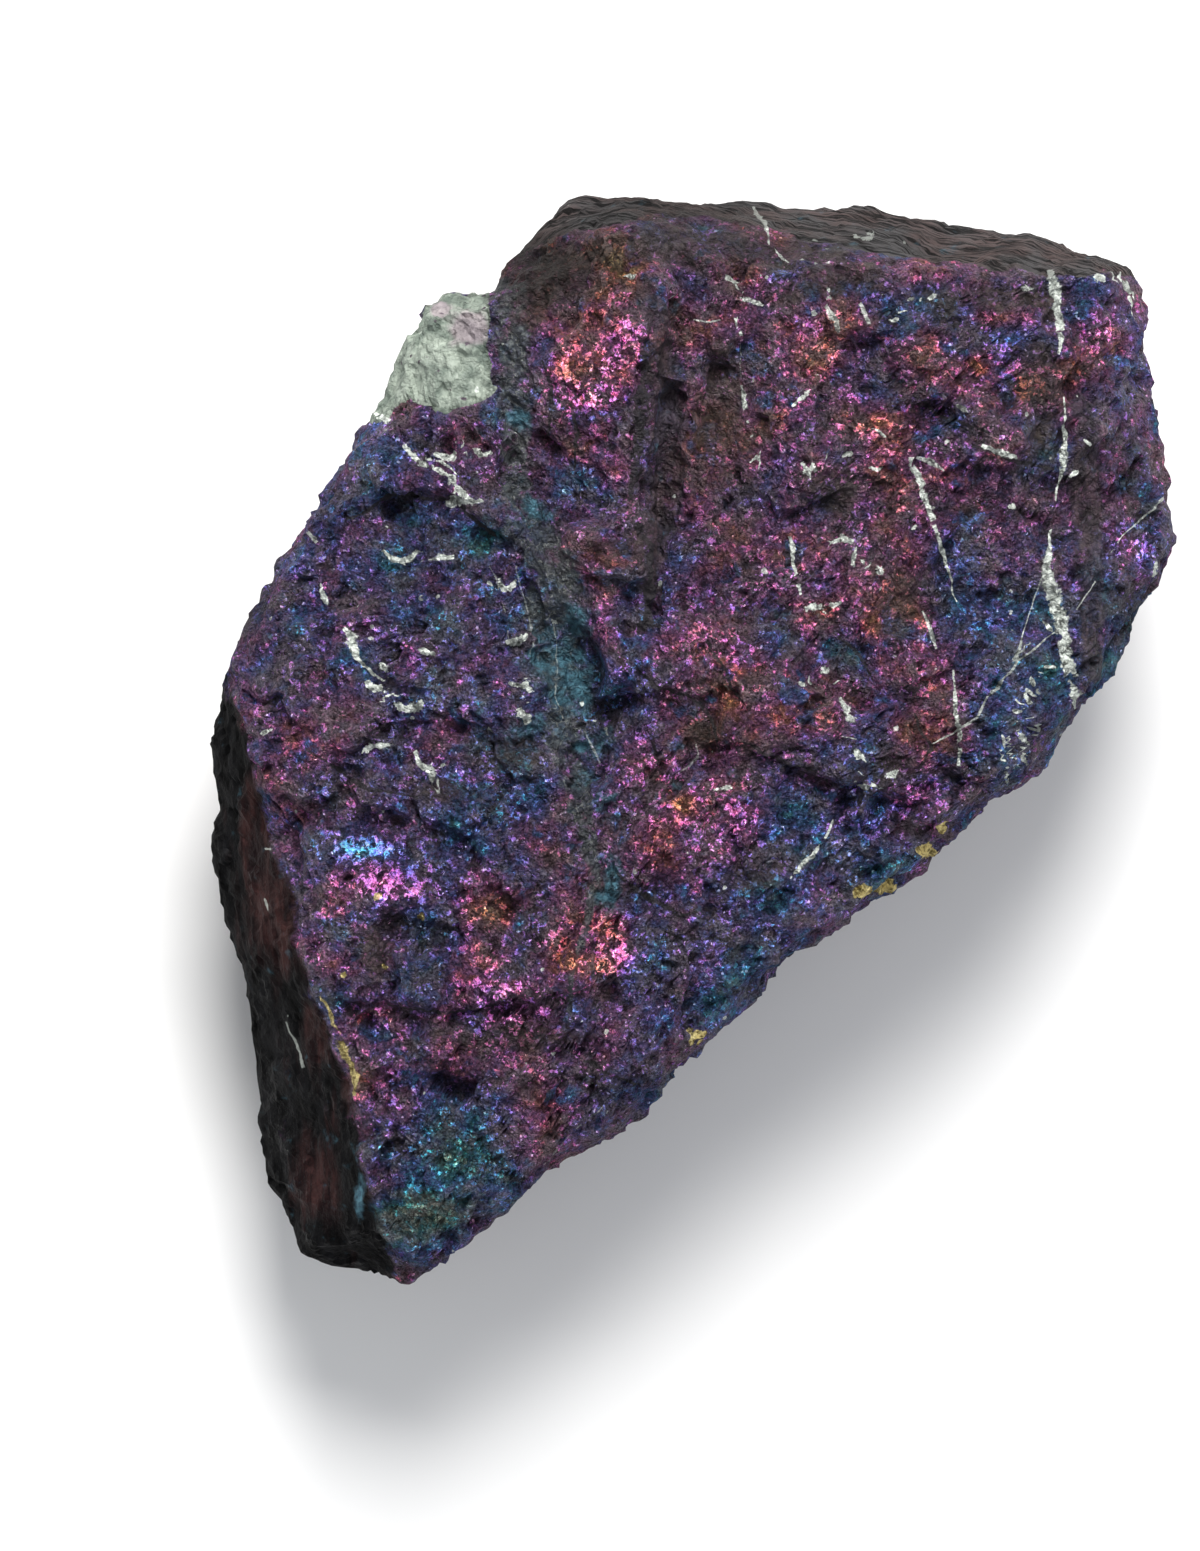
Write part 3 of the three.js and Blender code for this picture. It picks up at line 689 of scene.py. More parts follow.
mark("dusty", strongest(DUSTY_SPOTS) * on_top)
mark("teal", strongest(TEAL_STAINS))
mark("rusty", sum(patch(*spot) for spot in RUSTY_SPOTS))
mark("rosy", sum(patch(*spot) for spot in ROSY_SPOTS))
mark("brassy", strongest(BRASSY_SPOTS) * on_face)
# The mark of painted shade, which the material reads at the end.
mark("painted_shade", strongest(PAINTED_SHADE_SPOTS))

# %% [markdown]
# ## Calm and steep parts
# Two more marks guide the light. Slate, flank, quartz and strips are calmer than the ore, so the material
# gives them lower wrinkles. And where the skin is steep, a smooth surface would mirror the pale floor,
# which a real rough side doesn't.

# %% Mark what is calm and what is steep
calm = np.maximum.reduce([flank, slaty, 0.55 * streaked, 0.35 * vein_rock, 0.8 * quartz])
mark("calm", calm)
mark("steep", ease(0.8, 0.4, smooth_facing[:, 2]))

# %% [markdown]
# ## White calcite veins
# Calcite fills the cracks as thin white lines, some no wider than a hair. A mask drawn point by point
# would be as coarse as the mesh. Instead each point holds its distance to the line, with a sign for the
# side it is on, in half widths. That number runs evenly across the line, so the material can draw an
# edge far finer than a triangle. Lines that come close to each other are kept in separate sets, and a
# second mark keeps only what is near a line, because the sign also flips half way between two of them.

# %% Lay the veins
LONG_VEINS = {
    # name: (x, y, half width)
    "right vein, top": [(66.2, 85.3, 0.7), (67.3, 82.2, 1.1), (67.1, 79.5, 0.9), (67.6, 75.8, 1),
        (67.8, 72.2, 0.6), (67.3, 70.4, 0.3)],
    "right vein, middle": [(68.4, 62.2, 0.15), (68.4, 57.1, 0.25), (68.5, 54, 0.55), (68.4, 51.8, 0.85),
        (68.2, 49.8, 0.7), (67.6, 47.1, 0.35), (67.1, 44.9, 0.3), (66.7, 42, 0.2)],
    "right vein, lower": [(66, 37.5, 0.2), (65.5, 34.9, 0.5), (64.9, 32.2, 0.8), (64.9, 30.2, 1),
        (65.8, 27.8, 1.3), (66.9, 25.3, 1.8), (67.3, 22.5, 1.5), (67.8, 19.8, 1.2), (68.5, 17.3, 1.25),
        (68.9, 14.7, 0.9), (69.6, 12.5, 1.2), (70.4, 10.4, 1.25), (70.4, 8, 0.9), (70.7, 5.8, 0.4)],
    "needle": [(40.4, 50.2, 0.6), (41.1, 48.5, 0.75), (42, 45.8, 0.65), (43.1, 43.1, 0.5),
        (44.2, 39.5, 0.55), (45.3, 36.2, 0.5), (46.5, 32.2, 0.35), (47.5, 28.9, 0.25),
        (48.4, 25.3, 0.15)],
    "lower needle": [(47.8, 11.8, 0.2), (48.2, 8.5, 0.25), (48.2, 5.6, 0.55), (48.5, 3.8, 0.5),
        (49.1, 0.4, 0.5), (49.1, -2.4, 0.45), (48.9, -4.9, 0.35)],
    "chain's head": [(7.1, 83.8, 0.3), (8.2, 83.3, 0.5), (8.7, 82.2, 0.2)],
    "chain, top": [(8.7, 76.2, 0.3), (9.1, 75.1, 0.55), (9.3, 73.6, 0.3)],
    "chain, middle": [(9.5, 63.6, 0.3), (9.8, 61.8, 0.5), (10.4, 59.8, 0.65), (10.9, 57.6, 0.3)],
    "chain's foot": [(11.3, 50.5, 0.2), (12, 51.1, 0.35), (12.7, 50.4, 0.3), (12.5, 49.5, 0.15)],
    "short needle": [(18.2, 36.2, 0.35), (18.9, 34.4, 0.6), (18.9, 32.2, 0.3), (19.5, 28.9, 0.6),
        (20, 26.5, 0.3)],
    "hook": [(25.8, 35.6, 0.4), (28, 36.4, 0.6), (29.8, 35.6, 0.6), (30.2, 34.2, 0.35),
        (29.8, 31.8, 0.5)],
    "left vee": [(-62.9, 19.5, 0.3), (-62, 18.4, 1), (-61.5, 16.7, 0.9), (-60.7, 14.7, 0.5),
        (-59.5, 12.9, 0.3), (-58, 11.6, 0.3)],
    "left fork": [(-50, -2.9, 0.4), (-49.3, -5.1, 0.7), (-47.8, -5.8, 0.8), (-46.2, -5.6, 0.7),
        (-44.9, -5.1, 0.3)],
    "arc string": [(-55.8, 33.8, 0.3), (-54.7, 32.5, 0.5), (-53.1, 32.2, 0.5), (-51.6, 32, 1),
        (-50.2, 32.7, 1.2), (-48.9, 33.1, 0.7), (-46.2, 32.9, 0.7), (-43.5, 32.7, 0.4)],
    "top side vein": [(12.2, 97.1, 0.3), (13.1, 95.1, 0.7), (14, 93.3, 0.45), (14.9, 90.4, 0.15),
        (16.7, 88.5, 0.3), (17.6, 87.5, 0.15)],
    "crest sliver": [(53.6, 52.9, 0.3), (55.5, 52, 0.5), (56.9, 51.5, 0.65), (58.9, 51.1, 0.3)],
    "curl": [(25.8, -15.5, 0.2), (24.4, -18.7, 0.3), (22.2, -22, 0.3), (19.1, -24.5, 0.2)],
}
FINE_VEINS = {
    "cross vein": [(66.9, 19.6, 0.25), (65.1, 18.2, 0.22), (63.3, 16.5, 0.22), (61.1, 14.9, 0.25),
        (59.6, 14, 0.28), (58.5, 11.8, 0.28), (56.5, 10, 0.25), (54.7, 8.4, 0.25), (53.5, 6.2, 0.22),
        (52.2, 3.6, 0.28), (50.5, 2.4, 0.3), (48.4, 1.3, 0.2), (44.5, -1.1, 0.12)],
    "vein's side arm": [(64.7, 30.2, 0.2), (64, 28.4, 0.2), (63.3, 26, 0.14), (62, 22.7, 0.1),
        (60.7, 18.7, 0.14), (59.8, 15.8, 0.3), (58.9, 14.4, 0.2)],
    "below the needle": [(42.7, 22.7, 0.2), (43.5, 20.5, 0.35), (44.2, 18.2, 0.4), (44.7, 16.9, 0.2)],
    "right thread": [(86.9, 43.8, 0.26), (84.5, 41.3, 0.2), (82.5, 39.5, 0.15), (79.6, 37.3, 0.1),
        (77.8, 34.5, 0.12)],
    "right thread 2": [(74, 28.2, 0.12), (72.4, 25.8, 0.16), (70.9, 23.8, 0.12)],
    "fork's foot": [(-47.3, -5.5, 0.8), (-46.7, -7.8, 0.75), (-45.8, -10.4, 0.4)],
    "needle's head": [(42, 50.7, 0.3), (43.6, 50.2, 0.7), (44.9, 49.6, 0.45), (46, 48.7, 0.2)],
    "flank thread": [(-74.4, -52.9, 0.2), (-73.5, -55.1, 0.25), (-72.4, -57.8, 0.25),
        (-71.5, -60.7, 0.3)],
    "brow slivers": [(1.3, 76, 0.15), (3.3, 75.6, 0.2), (5.1, 76, 0.12)],
    "upper sliver": [(24.9, 78.2, 0.4), (25.8, 76.5, 0.55), (26.9, 74.5, 0.4)],
    "upper sliver 2": [(31.3, 78.9, 0.35), (32.2, 77.5, 0.4), (32.5, 75.8, 0.4)],
}
FAINT_VEINS = {
    "chain thread": [(9.4, 71, 0.12), (9.4, 66.4, 0.15)],
    "rock thread": [(-36.4, 30.7, 0.12), (-34.7, 26.4, 0.14), (-33.6, 22.7, 0.14), (-32.9, 17.6, 0.12)],
    "rock thread 2": [(-32, 31.1, 0.2), (-30.4, 26.7, 0.16), (-28.9, 19.8, 0.22), (-28.5, 15.5, 0.12)],
    "rock thread 3": [(-25.3, 23.1, 0.14), (-24.4, 17.6, 0.12), (-24.2, 6.7, 0.12), (-23.3, 3.8, 0.16)],
    "grey thread": [(-19.3, 1.6, 0.14), (-18.2, -0.9, 0.22), (-16.9, -3.6, 0.2), (-15.3, -7.1, 0.14)],
    "dry thread": [(-1.8, -6.4, 0.16), (0, -5.3, 0.22), (1.8, -3.5, 0.18), (1.3, -2, 0.12)],
    "toe thread": [(-26.4, -77.8, 0.15), (-22.7, -74.2, 0.2), (-18.2, -69.3, 0.2), (-16.4, -67.5, 0.12)],
}
FAR = 9.0      # offsets past this many half widths are all alike


def lay_set(name, veins):
    """Marks one set of veins: the offset in half widths, and what is near a vein."""
    offset = np.full(len(x), FAR)
    close = np.zeros(len(x))
    nearest = np.full(len(x), np.inf)
    for route in veins.values():
        gap, side, half, past_end = follow(route)
        here = gap < nearest
        offset = np.where(here, np.clip(side / half, -FAR, FAR), offset)
        own_close = ease(2 * half + 1.2, 1.6 * half + 0.5, gap) * ease(0.9, 0.2, past_end)
        close = np.where(here, own_close, close)
        nearest = np.minimum(gap, nearest)
    mark(name, offset)
    mark(name + "_near", close * on_face)


lay_set("veins", LONG_VEINS)
lay_set("threads", FINE_VEINS)
lay_set("faint", FAINT_VEINS)

# %% [markdown]
# ## Cracks and a line of brass
# Dark cracks run along the feet of the ledges and across the boss, and a line of bare brass-yellow ore
# follows the ridge above the flank. They are lines as well, so they are laid the same way.

# %% Lay the cracks and the brass line
CRACKS = {
    # name: (x, y, half width)
    "block's foot": [(-9.5, 12, 0.3), (-6.5, 9.3, 0.5), (-1.8, 7.3, 0.4), (-0.2, 7.6, 0.3),
        (3.6, 4.5, 0.4), (5, -2.5, 0.25)],
    "block's back": [(2.5, 18.5, 0.3), (4.4, 15, 0.4), (6.7, 12, 0.4), (7.5, 8.7, 0.3), (10.2, 5.6, 0.2)],
    "shelf crack": [(10, -1, 0.3), (15.3, -3.3, 0.5), (17.6, -5, 0.5), (22.7, -5.6, 0.4),
        (24.7, -8.4, 0.2)],
    "short crack": [(-7, 0.2, 0.3), (-5.7, -4.8, 0.3)],
    "foot of the boss wall": [(-8.1, 34, 0.7), (-7.8, 27, 0.8), (-8.6, 20.5, 0.6), (-5.3, 19.5, 0.2)],
    "wall crack": [(-9, 72, 0.7), (-8.3, 66, 0.9), (-9.2, 58, 0.8), (-10.5, 48, 0.7), (-11, 40, 0.6),
        (-8.2, 34, 0.5)],
    "hollow's rim": [(26.5, 18.5, 0.3), (31, 15, 0.4), (33, 11, 0.2)],
    "left crack": [(-36, -34, 0.2), (-31, -37.6, 0.4), (-28.4, -39, 0.3)],
    "plum crack": [(-13, -25, 0.3), (-9, -28.2, 0.5), (-1.8, -32.5, 0.5), (1, -31.8, 0.3)],
    "plum crack 2": [(7, -36.9, 0.3), (0, -37, 0.4), (-4, -35.5, 0.2)],
    "stair crack": [(-55, -49, 0.3), (-45, -50.5, 0.4), (-36, -49, 0.3)],
    "boss cracks": [(-27, 68, 0.2), (-25.4, 62, 0.4), (-25.2, 55, 0.3)],
    "boss cracks 2": [(-21.5, 60, 0.3), (-20.5, 55, 0.4), (-21, 49, 0.2)],
    "under the arc": [(-62, 40, 0.3), (-53, 44, 0.6), (-44, 43.5, 0.5), (-36, 37, 0.4)],
    "bevel crack": [(-70, -2, 0.2), (-64, -6, 0.4), (-58, -9.5, 0.4), (-50, -11, 0.2)],
    "toe crack": [(-22, -57, 0.2), (-14, -62, 0.35), (-9, -64, 0.2)],
    "brow crack": [(52, 53, 0.3), (60, 50, 0.5), (66, 49, 0.3)],
    "right crack": [(41, 62, 0.2), (47, 58, 0.4), (54, 55.5, 0.3)],
    "right foot": [(41, 4, 0.2), (44, -2, 0.4), (41, -7, 0.3)],
}
BRASS_LINE = {
    "along the ridge": [(-67.3, -47.8, 0.25), (-65.8, -50.5, 0.5), (-64.5, -54.2, 0.6),
        (-63.3, -56.9, 0.8), (-62.2, -59.6, 0.6), (-61.5, -62.4, 0.8), (-61.3, -65, 0.4)],
}
lay_set("cracks", CRACKS)
lay_set("brass_line", BRASS_LINE)

# %% [markdown]
# ## Flecks and specks
# Calcite also sits in the ore as short flecks, a few millimetres long and often bent. A fleck is a
# short chain of ellipses, and each point holds its place in the nearest one, again as numbers that run
# evenly. The specks are too many to list, so only the spots where they crowd are marked.

# %% Lay the flecks, and mark where specks crowd
FLECKS = [
    # x, y, half width along each fleck
    [(-52, 53.3, 0.3), (-50.9, 51.8, 0.5), (-49.5, 50.2, 0.6), (-47.8, 49.3, 0.5)],
    [(-46.5, 51.8, 0.4), (-45.3, 51.3, 0.7), (-43.8, 50.7, 0.6), (-42.9, 51.8, 0.3)],
    [(-46.2, 49.1, 0.3), (-44.4, 47.8, 0.5), (-42.5, 47.1, 0.3)],
    [(-42.5, 45.5, 0.4), (-41.3, 44.7, 0.5)],
    [(-39.1, 52.2, 0.4), (-37.6, 51.3, 0.5), (-36.4, 51.8, 0.3)],
    [(-44.2, 42.9, 0.5), (-42.5, 42.7, 0.9), (-40.9, 42.9, 0.6), (-38.2, 42.9, 0.3)],
    [(-35, 28.2, 0.35), (-34.2, 27.2, 0.6), (-33.2, 27, 0.7), (-32.3, 27.4, 0.6), (-31.6, 28.2, 0.35)],
    [(-69.1, 37.3, 0.7), (-68.2, 36, 0.3)],
    [(-68, 28, 0.3), (-67.5, 26.4, 0.7), (-66.5, 24.9, 0.3)],
    [(-58.9, 10.4, 0.4), (-57.8, 8.9, 0.8), (-55.8, 8.7, 0.5)],
    [(-56.7, 13.3, 0.5), (-55.1, 12.5, 0.7)],
    [(-49.1, 16.4, 0.3), (-47.6, 15.3, 0.6), (-46.4, 14.7, 0.3)],
    [(-33.3, 17.5, 0.4), (-31.6, 17.3, 0.9), (-30.4, 17.6, 0.4)],
    [(-32.5, 9.6, 0.3), (-30.9, 9.3, 0.6), (-29.6, 9.5, 0.6), (-29.3, 8.2, 0.3)],
    [(-53.5, 5.8, 0.4), (-51.8, 5.1, 0.9), (-50.2, 5.1, 1.1), (-48.9, 6, 0.5)],
    [(-31.1, 4.5, 0.6), (-29.8, 3.8, 0.9), (-29.5, 2.5, 0.4)],
    [(-58.9, -2.5, 0.3), (-56.7, -1.8, 0.5), (-54.5, -1.5, 0.3)],
    [(-78.7, 0.7, 0.5), (-76.5, 1.3, 0.3)],
    [(-12, 84.2, 0.5), (-10.2, 83.8, 0.4)],
    [(7.6, 84.2, 0.4), (9.3, 83.8, 0.5)],
    [(10, 80, 0.3), (11.6, 79.6, 0.45), (13.1, 79.1, 0.2)],
    [(14, 84, 0.4), (14.2, 83.8, 0.3)],
    [(25.3, 82, 0.35), (25.6, 81.6, 0.3)],
    [(36, 76.4, 0.35), (37.8, 76.4, 0.3)],
    [(18.9, 60.5, 0.2), (20.2, 61.8, 0.45), (21.6, 62.9, 0.25)],
    [(27.6, 51.1, 0.4), (29.3, 51.6, 0.45)],
    [(20.5, 49.6, 0.3), (21.5, 48.4, 0.7), (22.2, 49.5, 0.4)],
    [(32.9, 48.7, 0.25), (35.1, 48.5, 0.3)],
    [(34.4, 30.2, 0.9), (34.9, 30, 0.8)],
    [(31.1, 32.2, 0.4), (31.6, 31.8, 0.3)],
    [(21.5, 23.8, 0.6), (22.9, 23.3, 0.9), (24.7, 23.8, 0.8)],
    [(26.5, 24.2, 0.5), (27.8, 24.7, 0.3)],
    [(23.8, 12.4, 0.6), (25.3, 12, 0.7)],
    [(27.6, 7.1, 0.4), (28.9, 4.9, 1), (29.5, 3.1, 0.9)],
    [(30, -2.7, 0.6), (31.3, -3.6, 1)],
    [(19.5, 10, 0.3), (20.7, 9.3, 0.4)],
    [(4.7, -9.3, 0.5), (7.1, -9.1, 0.4)],
    [(35.6, -7.1, 0.6), (37.6, -6.5, 0.4)],
    [(30.9, -8.9, 0.5), (32.4, -9.3, 0.6)],
    [(71.6, 54.4, 0.4), (72.7, 53.3, 0.4)],
    [(69.5, 47.8, 0.5), (70.5, 48.4, 0.4)],
    [(48.4, 60.5, 0.4), (50, 59.5, 0.4)],
    [(33.1, 56.5, 0.2), (35.5, 54.5, 0.3)],
    [(85.1, 30, 0.6), (85.8, 31.6, 0.6)],
    [(62.2, 10.5, 0.4), (63.1, 8.9, 0.5)],
    [(61.1, 8, 0.4), (61.5, 6.4, 0.6)],
    [(58.5, 4.9, 0.5), (60, 4.7, 0.4)],
    [(60, 0.5, 0.7), (61.6, -1.1, 0.6)],
    [(62.5, 2.5, 0.4), (64, 2, 0.4)],
    [(56.7, 0.9, 0.3), (57.3, -1.8, 0.3)],
    [(60.7, -3.5, 0.4), (61.6, -4.9, 0.4)],
    [(57.5, -6.4, 0.5), (58.4, -8.2, 0.4)],
    [(64.4, 12.7, 0.3), (66.7, 12.7, 0.3)],
    [(64.7, 20.9, 0.4), (66, 19.6, 0.3)],
    [(74.5, 84.5, 1), (76, 83.8, 0.5)],
    [(79.1, 84.7, 0.6), (80.7, 83.1, 0.5)],
    [(81.1, 81.3, 0.3), (81.5, 79.5, 0.45), (81.8, 77.3, 0.25)],
    [(43.6, 80, 0.5), (44.7, 80.5, 0.4)],
    [(39.6, 79.6, 0.35), (40.4, 79.8, 0.3)],
    [(32.4, 91.8, 0.4), (34.5, 92.4, 0.5)],
    [(30.4, 92.2, 0.3), (31.1, 92, 0.3)],
    [(60.9, 82.2, 0.3), (62.9, 82, 0.4)],
    [(58.5, 42.2, 0.4), (58.9, 42.5, 0.4)],
    [(40.5, 38.2, 0.4), (41.3, 38.5, 0.4)],
    [(-55.3, 58, 0.5), (-57.1, 59.1, 0.6)],
    [(-77.8, -20.5, 0.25), (-76.7, -20.5, 0.2)],
    [(-78.2, -29.6, 0.2), (-77.5, -31.5, 0.25)],
]
SPECKLED_SPOTS = [
    # x, y, reach x, reach y
    (61, 1, 6, 14), (57, 20, 6, 8), (-16, 5, 5, 5), (-47, 50, 10, 6), (-50, 22, 16, 14), (24, 80, 14, 8),
    (28, 20, 8, 14), (36, -8, 8, 5), (-58, -15, 10, 8), (18, -10, 10, 6), (-20, -60, 20, 8),
    (48, 55, 10, 5),
]


def lay_flecks(flecks):
    """Marks how far along and across its nearest ellipse each point is. The ellipse's edge is at 1."""
    along, across, nearest = np.full((3, len(x)), FAR)
    for route in flecks:
        for (ax, ay, a_half), (bx, by, b_half) in zip(route, route[1:]):
            run, half = math.hypot(bx - ax, by - ay), (a_half + b_half) / 2
            from_x, from_y = x - (ax + bx) / 2, y - (ay + by) / 2
            own_along = (from_x * (bx - ax) + from_y * (by - ay)) / run / (run / 2 + 0.5 * half)
            own_across = (from_y * (bx - ax) - from_x * (by - ay)) / run / half
            gap = np.hypot(own_along, own_across)
            along = np.where(gap < nearest, own_along, along)
            across = np.where(gap < nearest, own_across, across)
            nearest = np.minimum(gap, nearest)
    mark("fleck_along", along)
    mark("fleck_across", across)
    mark("flecks_near", ease(4.5, 2.8, nearest) * on_face)


lay_flecks(FLECKS)
mark("speckled", strongest(SPECKLED_SPOTS) * on_top)

# %% [markdown]
# ## Wiring helper
# A material is a tree of nodes. Written out in full, each node takes four or five lines, and the
# reader loses the thread. These small helpers make one node in one line: the keywords set its options,
# and the dictionary fills its sockets with values or with wires from other nodes.

# %% Helpers for nodes
def node(tree, kind, sockets=None, **options):
    made = tree.nodes.new(kind)
    for option, value in options.items():
        setattr(made, option, value)
    for key, value in (sockets or {}).items():
        if isinstance(value, bpy.types.NodeSocket):
            tree.links.new(value, made.inputs[key])
        else:
            made.inputs[key].default_value = value
    return made


def calc(tree, operation, a, b=0.0, clamp=False):
    return node(tree, "ShaderNodeMath", {0: a, 1: b}, operation=operation, use_clamp=clamp).outputs[0]


def plus(tree, a, b):
    return calc(tree, "ADD", a, b)


def minus(tree, a, b):
    return calc(tree, "SUBTRACT", a, b)


def times(tree, first, *others):
    for other in others:
        first = calc(tree, "MULTIPLY", first, other)
    return first


def largest(tree, first, *others):
    for other in others:
        first = calc(tree, "MAXIMUM", first, other)
    return first


def vector(tree, operation, a, b=(0, 0, 0)):
    """Arithmetic with places and facings. SCALE takes a number as b, and DOT_PRODUCT gives one back."""
    second = "Scale" if operation == "SCALE" else 1
    outputs = node(tree, "ShaderNodeVectorMath", {0: a, second: b}, operation=operation).outputs
    return outputs["Value" if operation == "DOT_PRODUCT" else "Vector"]


def step_up(tree, value, low, high, to_low=0.0, to_high=1.0):
    """A smooth step from to_low to to_high while the value goes from low to high."""
    sockets = {"Value": value, "From Min": low, "From Max": high, "To Min": to_low, "To Max": to_high}
    return node(tree, "ShaderNodeMapRange", sockets, interpolation_type="SMOOTHSTEP").outputs["Result"]


def fade(tree, mask, to_value):
    """1 where the mask is 0, and to_value where it is 1."""
    return step_up(tree, mask, 0.0, 1.0, 1.0, to_value)


def over(tree, mask, below, above):
    """Colour `above` laid over colour `below` where the mask is 1."""
    return node(tree, "ShaderNodeMix", {0: mask, 6: below, 7: above}, data_type="RGBA").outputs[2]


def over_value(tree, mask, below, above):
    return node(tree, "ShaderNodeMix", {0: mask, 2: below, 3: above}, data_type="FLOAT").outputs[0]


def blend(tree, share, low, high):
    """One of two plain colours, or anything between them."""
    return over(tree, share, (*low, 1), (*high, 1))


def tinted(tree, colour, strength):
    """A colour made lighter or darker by a number."""
    grey = node(tree, "ShaderNodeCombineColor", {0: strength, 1: strength, 2: strength}).outputs[0]
    sockets = {0: 1.0, 6: colour, 7: grey}
    return node(tree, "ShaderNodeMix", sockets, data_type="RGBA", blend_type="MULTIPLY").outputs[2]


def soft_noise(tree, place, size, detail=2.0, roughness=0.5):
    """Noise from 0 to 1 with lumps about `size` metres across."""
    sockets = {"Vector": place, "Scale": 1 / size, "Detail": detail, "Roughness": roughness}
    return node(tree, "ShaderNodeTexNoise", sockets).outputs[0]


def cell_colours(tree, place, per_metre):
    """Space filled with scattered cells, each with a random colour of its own."""
    return node(tree, "ShaderNodeTexVoronoi", {"Vector": place, "Scale": per_metre}).outputs["Color"]


def rolls(tree, colour):
    """The three channels of a random colour, as three random numbers."""
    return node(tree, "ShaderNodeSeparateColor", {0: colour}).outputs


def new_group(name, inputs, outputs):
    """An empty shader group. inputs and outputs are name: socket type."""
    tree = bpy.data.node_groups.new(name, "ShaderNodeTree")
    for side, sockets in (("INPUT", inputs), ("OUTPUT", outputs)):
        for title, kind in sockets.items():
            tree.interface.new_socket(name=title, in_out=side, socket_type="NodeSocket" + kind)
    return tree, node(tree, "NodeGroupInput").outputs, node(tree, "NodeGroupOutput")


def placed(tree, group, sockets):
    """A group put into a tree, with its sockets filled. Returns its outputs."""
    return node(tree, "ShaderNodeGroup", sockets, node_tree=group).outputs


# %% [markdown]
# ## Crumpled grains
# Close up, the tarnished ore looks like foil that was crumpled and pulled half flat again. Its grains are
# a millimetre or less across, and the few that lean towards the lamp flash. Cells with one flat colour
# each would look like sequins. Cells whose place is first pushed about by noise have crooked borders, and
# two sizes of them mixed give softer ones. The mixed colour serves as a lean, and its channels as a
# roll for the film and a spark.

# %% Grain group
PUSH_REACH = 2.2     # how far the noise pushes, in grains
FINE_GRAINS = 2.3    # how many fine grains stand along a large one
FINE_SHARE = 0.4     # what they add to the mix


def grain_group():
    tree, given, result = new_group(
        "ore grains",
        {"Place": "Vector", "Facing": "Vector", "Size": "Float", "Lean": "Float"},
        {"Normal": "Vector", "Roll": "Float", "Spark": "Float"},
    )
    scale = calc(tree, "DIVIDE", 1.0, given["Size"])
    sockets = {"Vector": given["Place"], "Scale": scale, "Detail": 4.0, "Roughness": 0.65}
    push = node(tree, "ShaderNodeTexNoise", sockets).outputs["Color"]
    push = vector(tree, "SCALE", push, times(tree, given["Size"], PUSH_REACH))
    crooked = vector(tree, "ADD", given["Place"], push)
    large = cell_colours(tree, crooked, scale)
    small = cell_colours(tree, crooked, times(tree, scale, FINE_GRAINS))
    crumple = over(tree, FINE_SHARE, large, small)
    lean = vector(tree, "SUBTRACT", crumple, (0.5, 0.5, 0.5))
    lean = vector(tree, "SCALE", lean, given["Lean"])
    turned = vector(tree, "NORMALIZE", vector(tree, "ADD", given["Facing"], lean))
    roll = rolls(tree, crumple)
    tree.links.new(turned, result.inputs["Normal"])
    tree.links.new(roll[0], result.inputs["Roll"])
    tree.links.new(roll[2], result.inputs["Spark"])
    return tree


grains = grain_group()
print("group", grains.name, "ready")

# %% [markdown]
# ## Film colours
# The film shows its colours in two ways. Where the ore is dusty or rough they are greyed and dark. On
# the grains that flash, which are also turned to face the lamp, they are bright: a painted highlight. Two
# ramps list them in the same order, so one tone picks a dull colour and its painted flash, and the material
# then chooses between the two grain by grain.

# %% Film colour group
FILM_COLOURS = {
    # name: (dull, flash: the colour of the painted highlight)
    "brass": ((0.200, 0.135, 0.060), (0.80, 0.58, 0.24)),
    "bronze": ((0.165, 0.085, 0.048), (0.80, 0.33, 0.15)),
    "copper": ((0.165, 0.062, 0.050), (0.80, 0.23, 0.17)),
    "rose": ((0.160, 0.060, 0.082), (0.82, 0.20, 0.30)),
    "magenta": ((0.135, 0.050, 0.115), (0.74, 0.18, 0.50)),
    "purple": ((0.085, 0.047, 0.104), (0.44, 0.17, 0.60)),
    "violet": ((0.058, 0.048, 0.132), (0.26, 0.18, 0.68)),
    "indigo": ((0.034, 0.056, 0.150), (0.12, 0.23, 0.64)),
    "cyan": ((0.018, 0.078, 0.135), (0.08, 0.46, 0.70)),
    "teal": ((0.018, 0.090, 0.096), (0.07, 0.48, 0.48)),
    "moss": ((0.066, 0.084, 0.066), (0.30, 0.44, 0.34)),
}


def film_ramp(tree, tone, look):
    ramp = node(tree, "ShaderNodeValToRGB", {"Fac": tone})
    stops = ramp.color_ramp.elements
    stops[0].position, stops[1].position = TONES["brass"], TONES["moss"]
    for name in list(TONES)[1:-1]:
        stops.new(TONES[name])
    for stop, name in zip(stops, TONES):
        stop.color = (*FILM_COLOURS[name][look], 1)
    return ramp.outputs["Color"]


def film_group():
    tree, given, result = new_group("tarnish film", {"Tone": "Float"}, {"Dull": "Color", "Flash": "Color"})
    for look, title in enumerate(("Dull", "Flash")):
        tree.links.new(film_ramp(tree, given["Tone"], look), result.inputs[title])
    return tree


film_colours = film_group()
print("group", film_colours.name, "ready")

# %% [markdown]
# ## Calcite lines
# This group turns a vein mark into a white line. It frays the line's edge with noise, and breaks the
# line here and there, as real veins pinch out.

